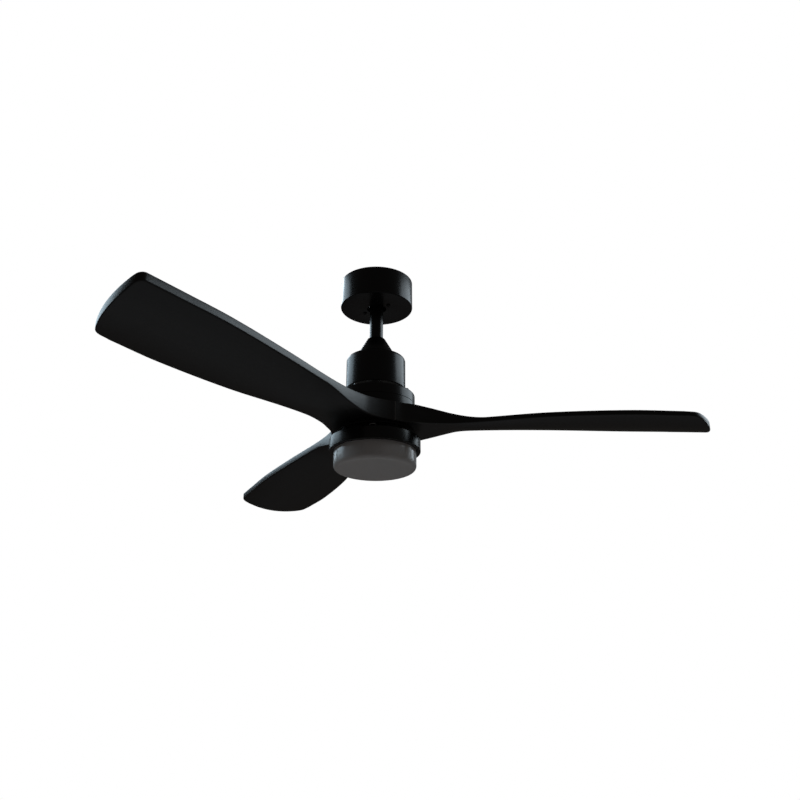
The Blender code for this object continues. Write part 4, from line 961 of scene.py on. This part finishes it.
def makeDiffuser():
    values = diffuserShape
    low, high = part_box("diffuser")
    radius, wall, corner, rim = values["radius"], values["wall"], values["round"], values["rim"]
    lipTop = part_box("light_pan")[0].z + panShape["lipHeight"]
    outline = [(0, low.z)] + [((radius - corner) * k / 6, low.z) for k in range(1, 6)]
    outline += arcPoints(radius - corner, low.z + corner, corner, 270, 360, 14)
    outline += arcPoints(radius - rim, high.z - rim, rim, 0, 90, 3)
    outline += arcPoints(radius - wall + rim, high.z - rim, rim, 90, 180, 3)
    outline += arcPoints(radius - corner, low.z + corner, corner - wall, 360, 270, 10)
    outline += [(0, low.z + wall)]
    bowl = spun("opalDiffuser", outline, ring=False)
    start = (values["lugStart"], -values["lugHalf"], lipTop + values["lugGap"])
    end = (values["lugEnd"], values["lugHalf"], lipTop + values["lugHeight"])
    lugs = [boxAt("lug", start, end, math.radians(turn)) for turn in values["lugs"]]
    for lug in lugs:
        shaped(lug, "BEVEL", width=values["lugEdge"], segments=2)
    carve(bowl, lugs, "UNION")
    place(bowl, "diffuser", opalPlastic, "opal_plastic", "diffuser")


makePan()
makeDiffuser()
print("light made")


# Studio

studio = {
    "turn": 4.31,  # the camera's bearing round the fan, in degrees
    "cameraDistance": 1.604, "cameraHeight": -0.900, "yaw": 0.0305, "pitch": 0.3776, "lens": 38.74,
    "floorHeight": -2.6, "floorRadius": 20, "aimHeight": -0.3,
    "backdrop": 1.0, "ambient": 0.035, "ambientColor": (1.0, 0.93, 0.88, 1),
    # bearing round the fan (0 straight behind it, 90 to the right), distance, height, size, power, colour
    "lights": [
        ("leftWindow", -56, 2.8, 1.15, (2.8, 1.2), 25, (0.68, 0.87, 1.0)),
        ("rightWindow", 71, 2.8, 1.08, (2.8, 1.2), 23, (0.80, 0.92, 1.0)),
        ("backWall", 8, 3.2, 1.1, (3.0, 1.6), 3, (0.85, 0.94, 1.0)),
        ("highWindow", -30, 3.0, 1.7, (1.3, 0.6), 12, (0.85, 0.94, 1.0)),
    ],
}


def around(bearing, distance, height):
    angle = math.radians(studio["turn"] - bearing)
    return Vector((-math.sin(angle) * distance, math.cos(angle) * distance, height))


def makeFloor():
    deselectAll()
    spot = (0, 0, studio["floorHeight"])
    bpy.ops.mesh.primitive_circle_add(
        vertices=roundSteps, radius=studio["floorRadius"], fill_type="NGON", location=spot
    )
    floor = added("paleFloor")
    look = surfaceFinish("palePaper", {
        "dark": (0.60, 0.54, 0.52), "light": (0.66, 0.60, 0.57), "rough": (0.7, 0.85),
        "grainScale": 40.0, "cloudScale": 0.6, "bump": 0.02,
    })
    # a dim light of its own that only the camera sees keeps the floor pale and its bounce small
    tree = look.node_tree
    shader = tree.nodes["Principled BSDF"]
    path = tree.nodes.new("ShaderNodeLightPath")
    shader.inputs["Emission Color"].default_value = (0.8, 0.8, 0.8, 1)
    tree.links.new(path.outputs["Is Camera Ray"], shader.inputs["Emission Strength"])
    floor.data.materials.clear()
    floor.data.materials.append(look)


def makeLights():
    for name, bearing, distance, height, size, power, color in studio["lights"]:
        lamp = bpy.data.lights.new(name, "AREA")
        lamp.shape = "RECTANGLE"
        lamp.size, lamp.size_y = size
        lamp.energy = power
        lamp.color = color
        stand = bpy.data.objects.new(name, lamp)
        stand.location = around(bearing, distance, height)
        aim = Vector((0, 0, studio["aimHeight"])) - stand.location
        stand.rotation_euler = aim.to_track_quat("-Z", "Y").to_euler()
        stand.visible_camera = False
        bpy.context.scene.collection.objects.link(stand)


def makeWorld():
    world = bpy.data.worlds.new("studioWorld")
    bpy.context.scene.world = world
    world.use_nodes = True
    tree = world.node_tree
    tree.nodes.clear()
    seen = newNode(tree, "ShaderNodeBackground", Color=(1, 1, 1, 1), Strength=studio["backdrop"])
    light = newNode(tree, "ShaderNodeBackground", Color=studio["ambientColor"], Strength=studio["ambient"])
    path = tree.nodes.new("ShaderNodeLightPath")
    mix = tree.nodes.new("ShaderNodeMixShader")
    out = tree.nodes.new("ShaderNodeOutputWorld")
    tree.links.new(path.outputs["Is Camera Ray"], mix.inputs["Fac"])
    tree.links.new(light.outputs[0], mix.inputs[1])
    tree.links.new(seen.outputs[0], mix.inputs[2])
    tree.links.new(mix.outputs[0], out.inputs["Surface"])


def makeCamera():
    data = bpy.data.cameras.new("studioCamera")
    data.lens = studio["lens"]
    data.sensor_width = 36
    camera = bpy.data.objects.new("studioCamera", data)
    camera.location = around(180, studio["cameraDistance"], studio["cameraHeight"])
    turn = math.radians(studio["turn"]) - studio["yaw"]
    camera.rotation_euler = (math.pi / 2 + studio["pitch"], 0, turn)
    bpy.context.scene.collection.objects.link(camera)
    bpy.context.scene.camera = camera


makeFloor()
makeLights()
makeWorld()
makeCamera()
bpy.context.scene.view_settings.view_transform = "Standard"
print("studio made")
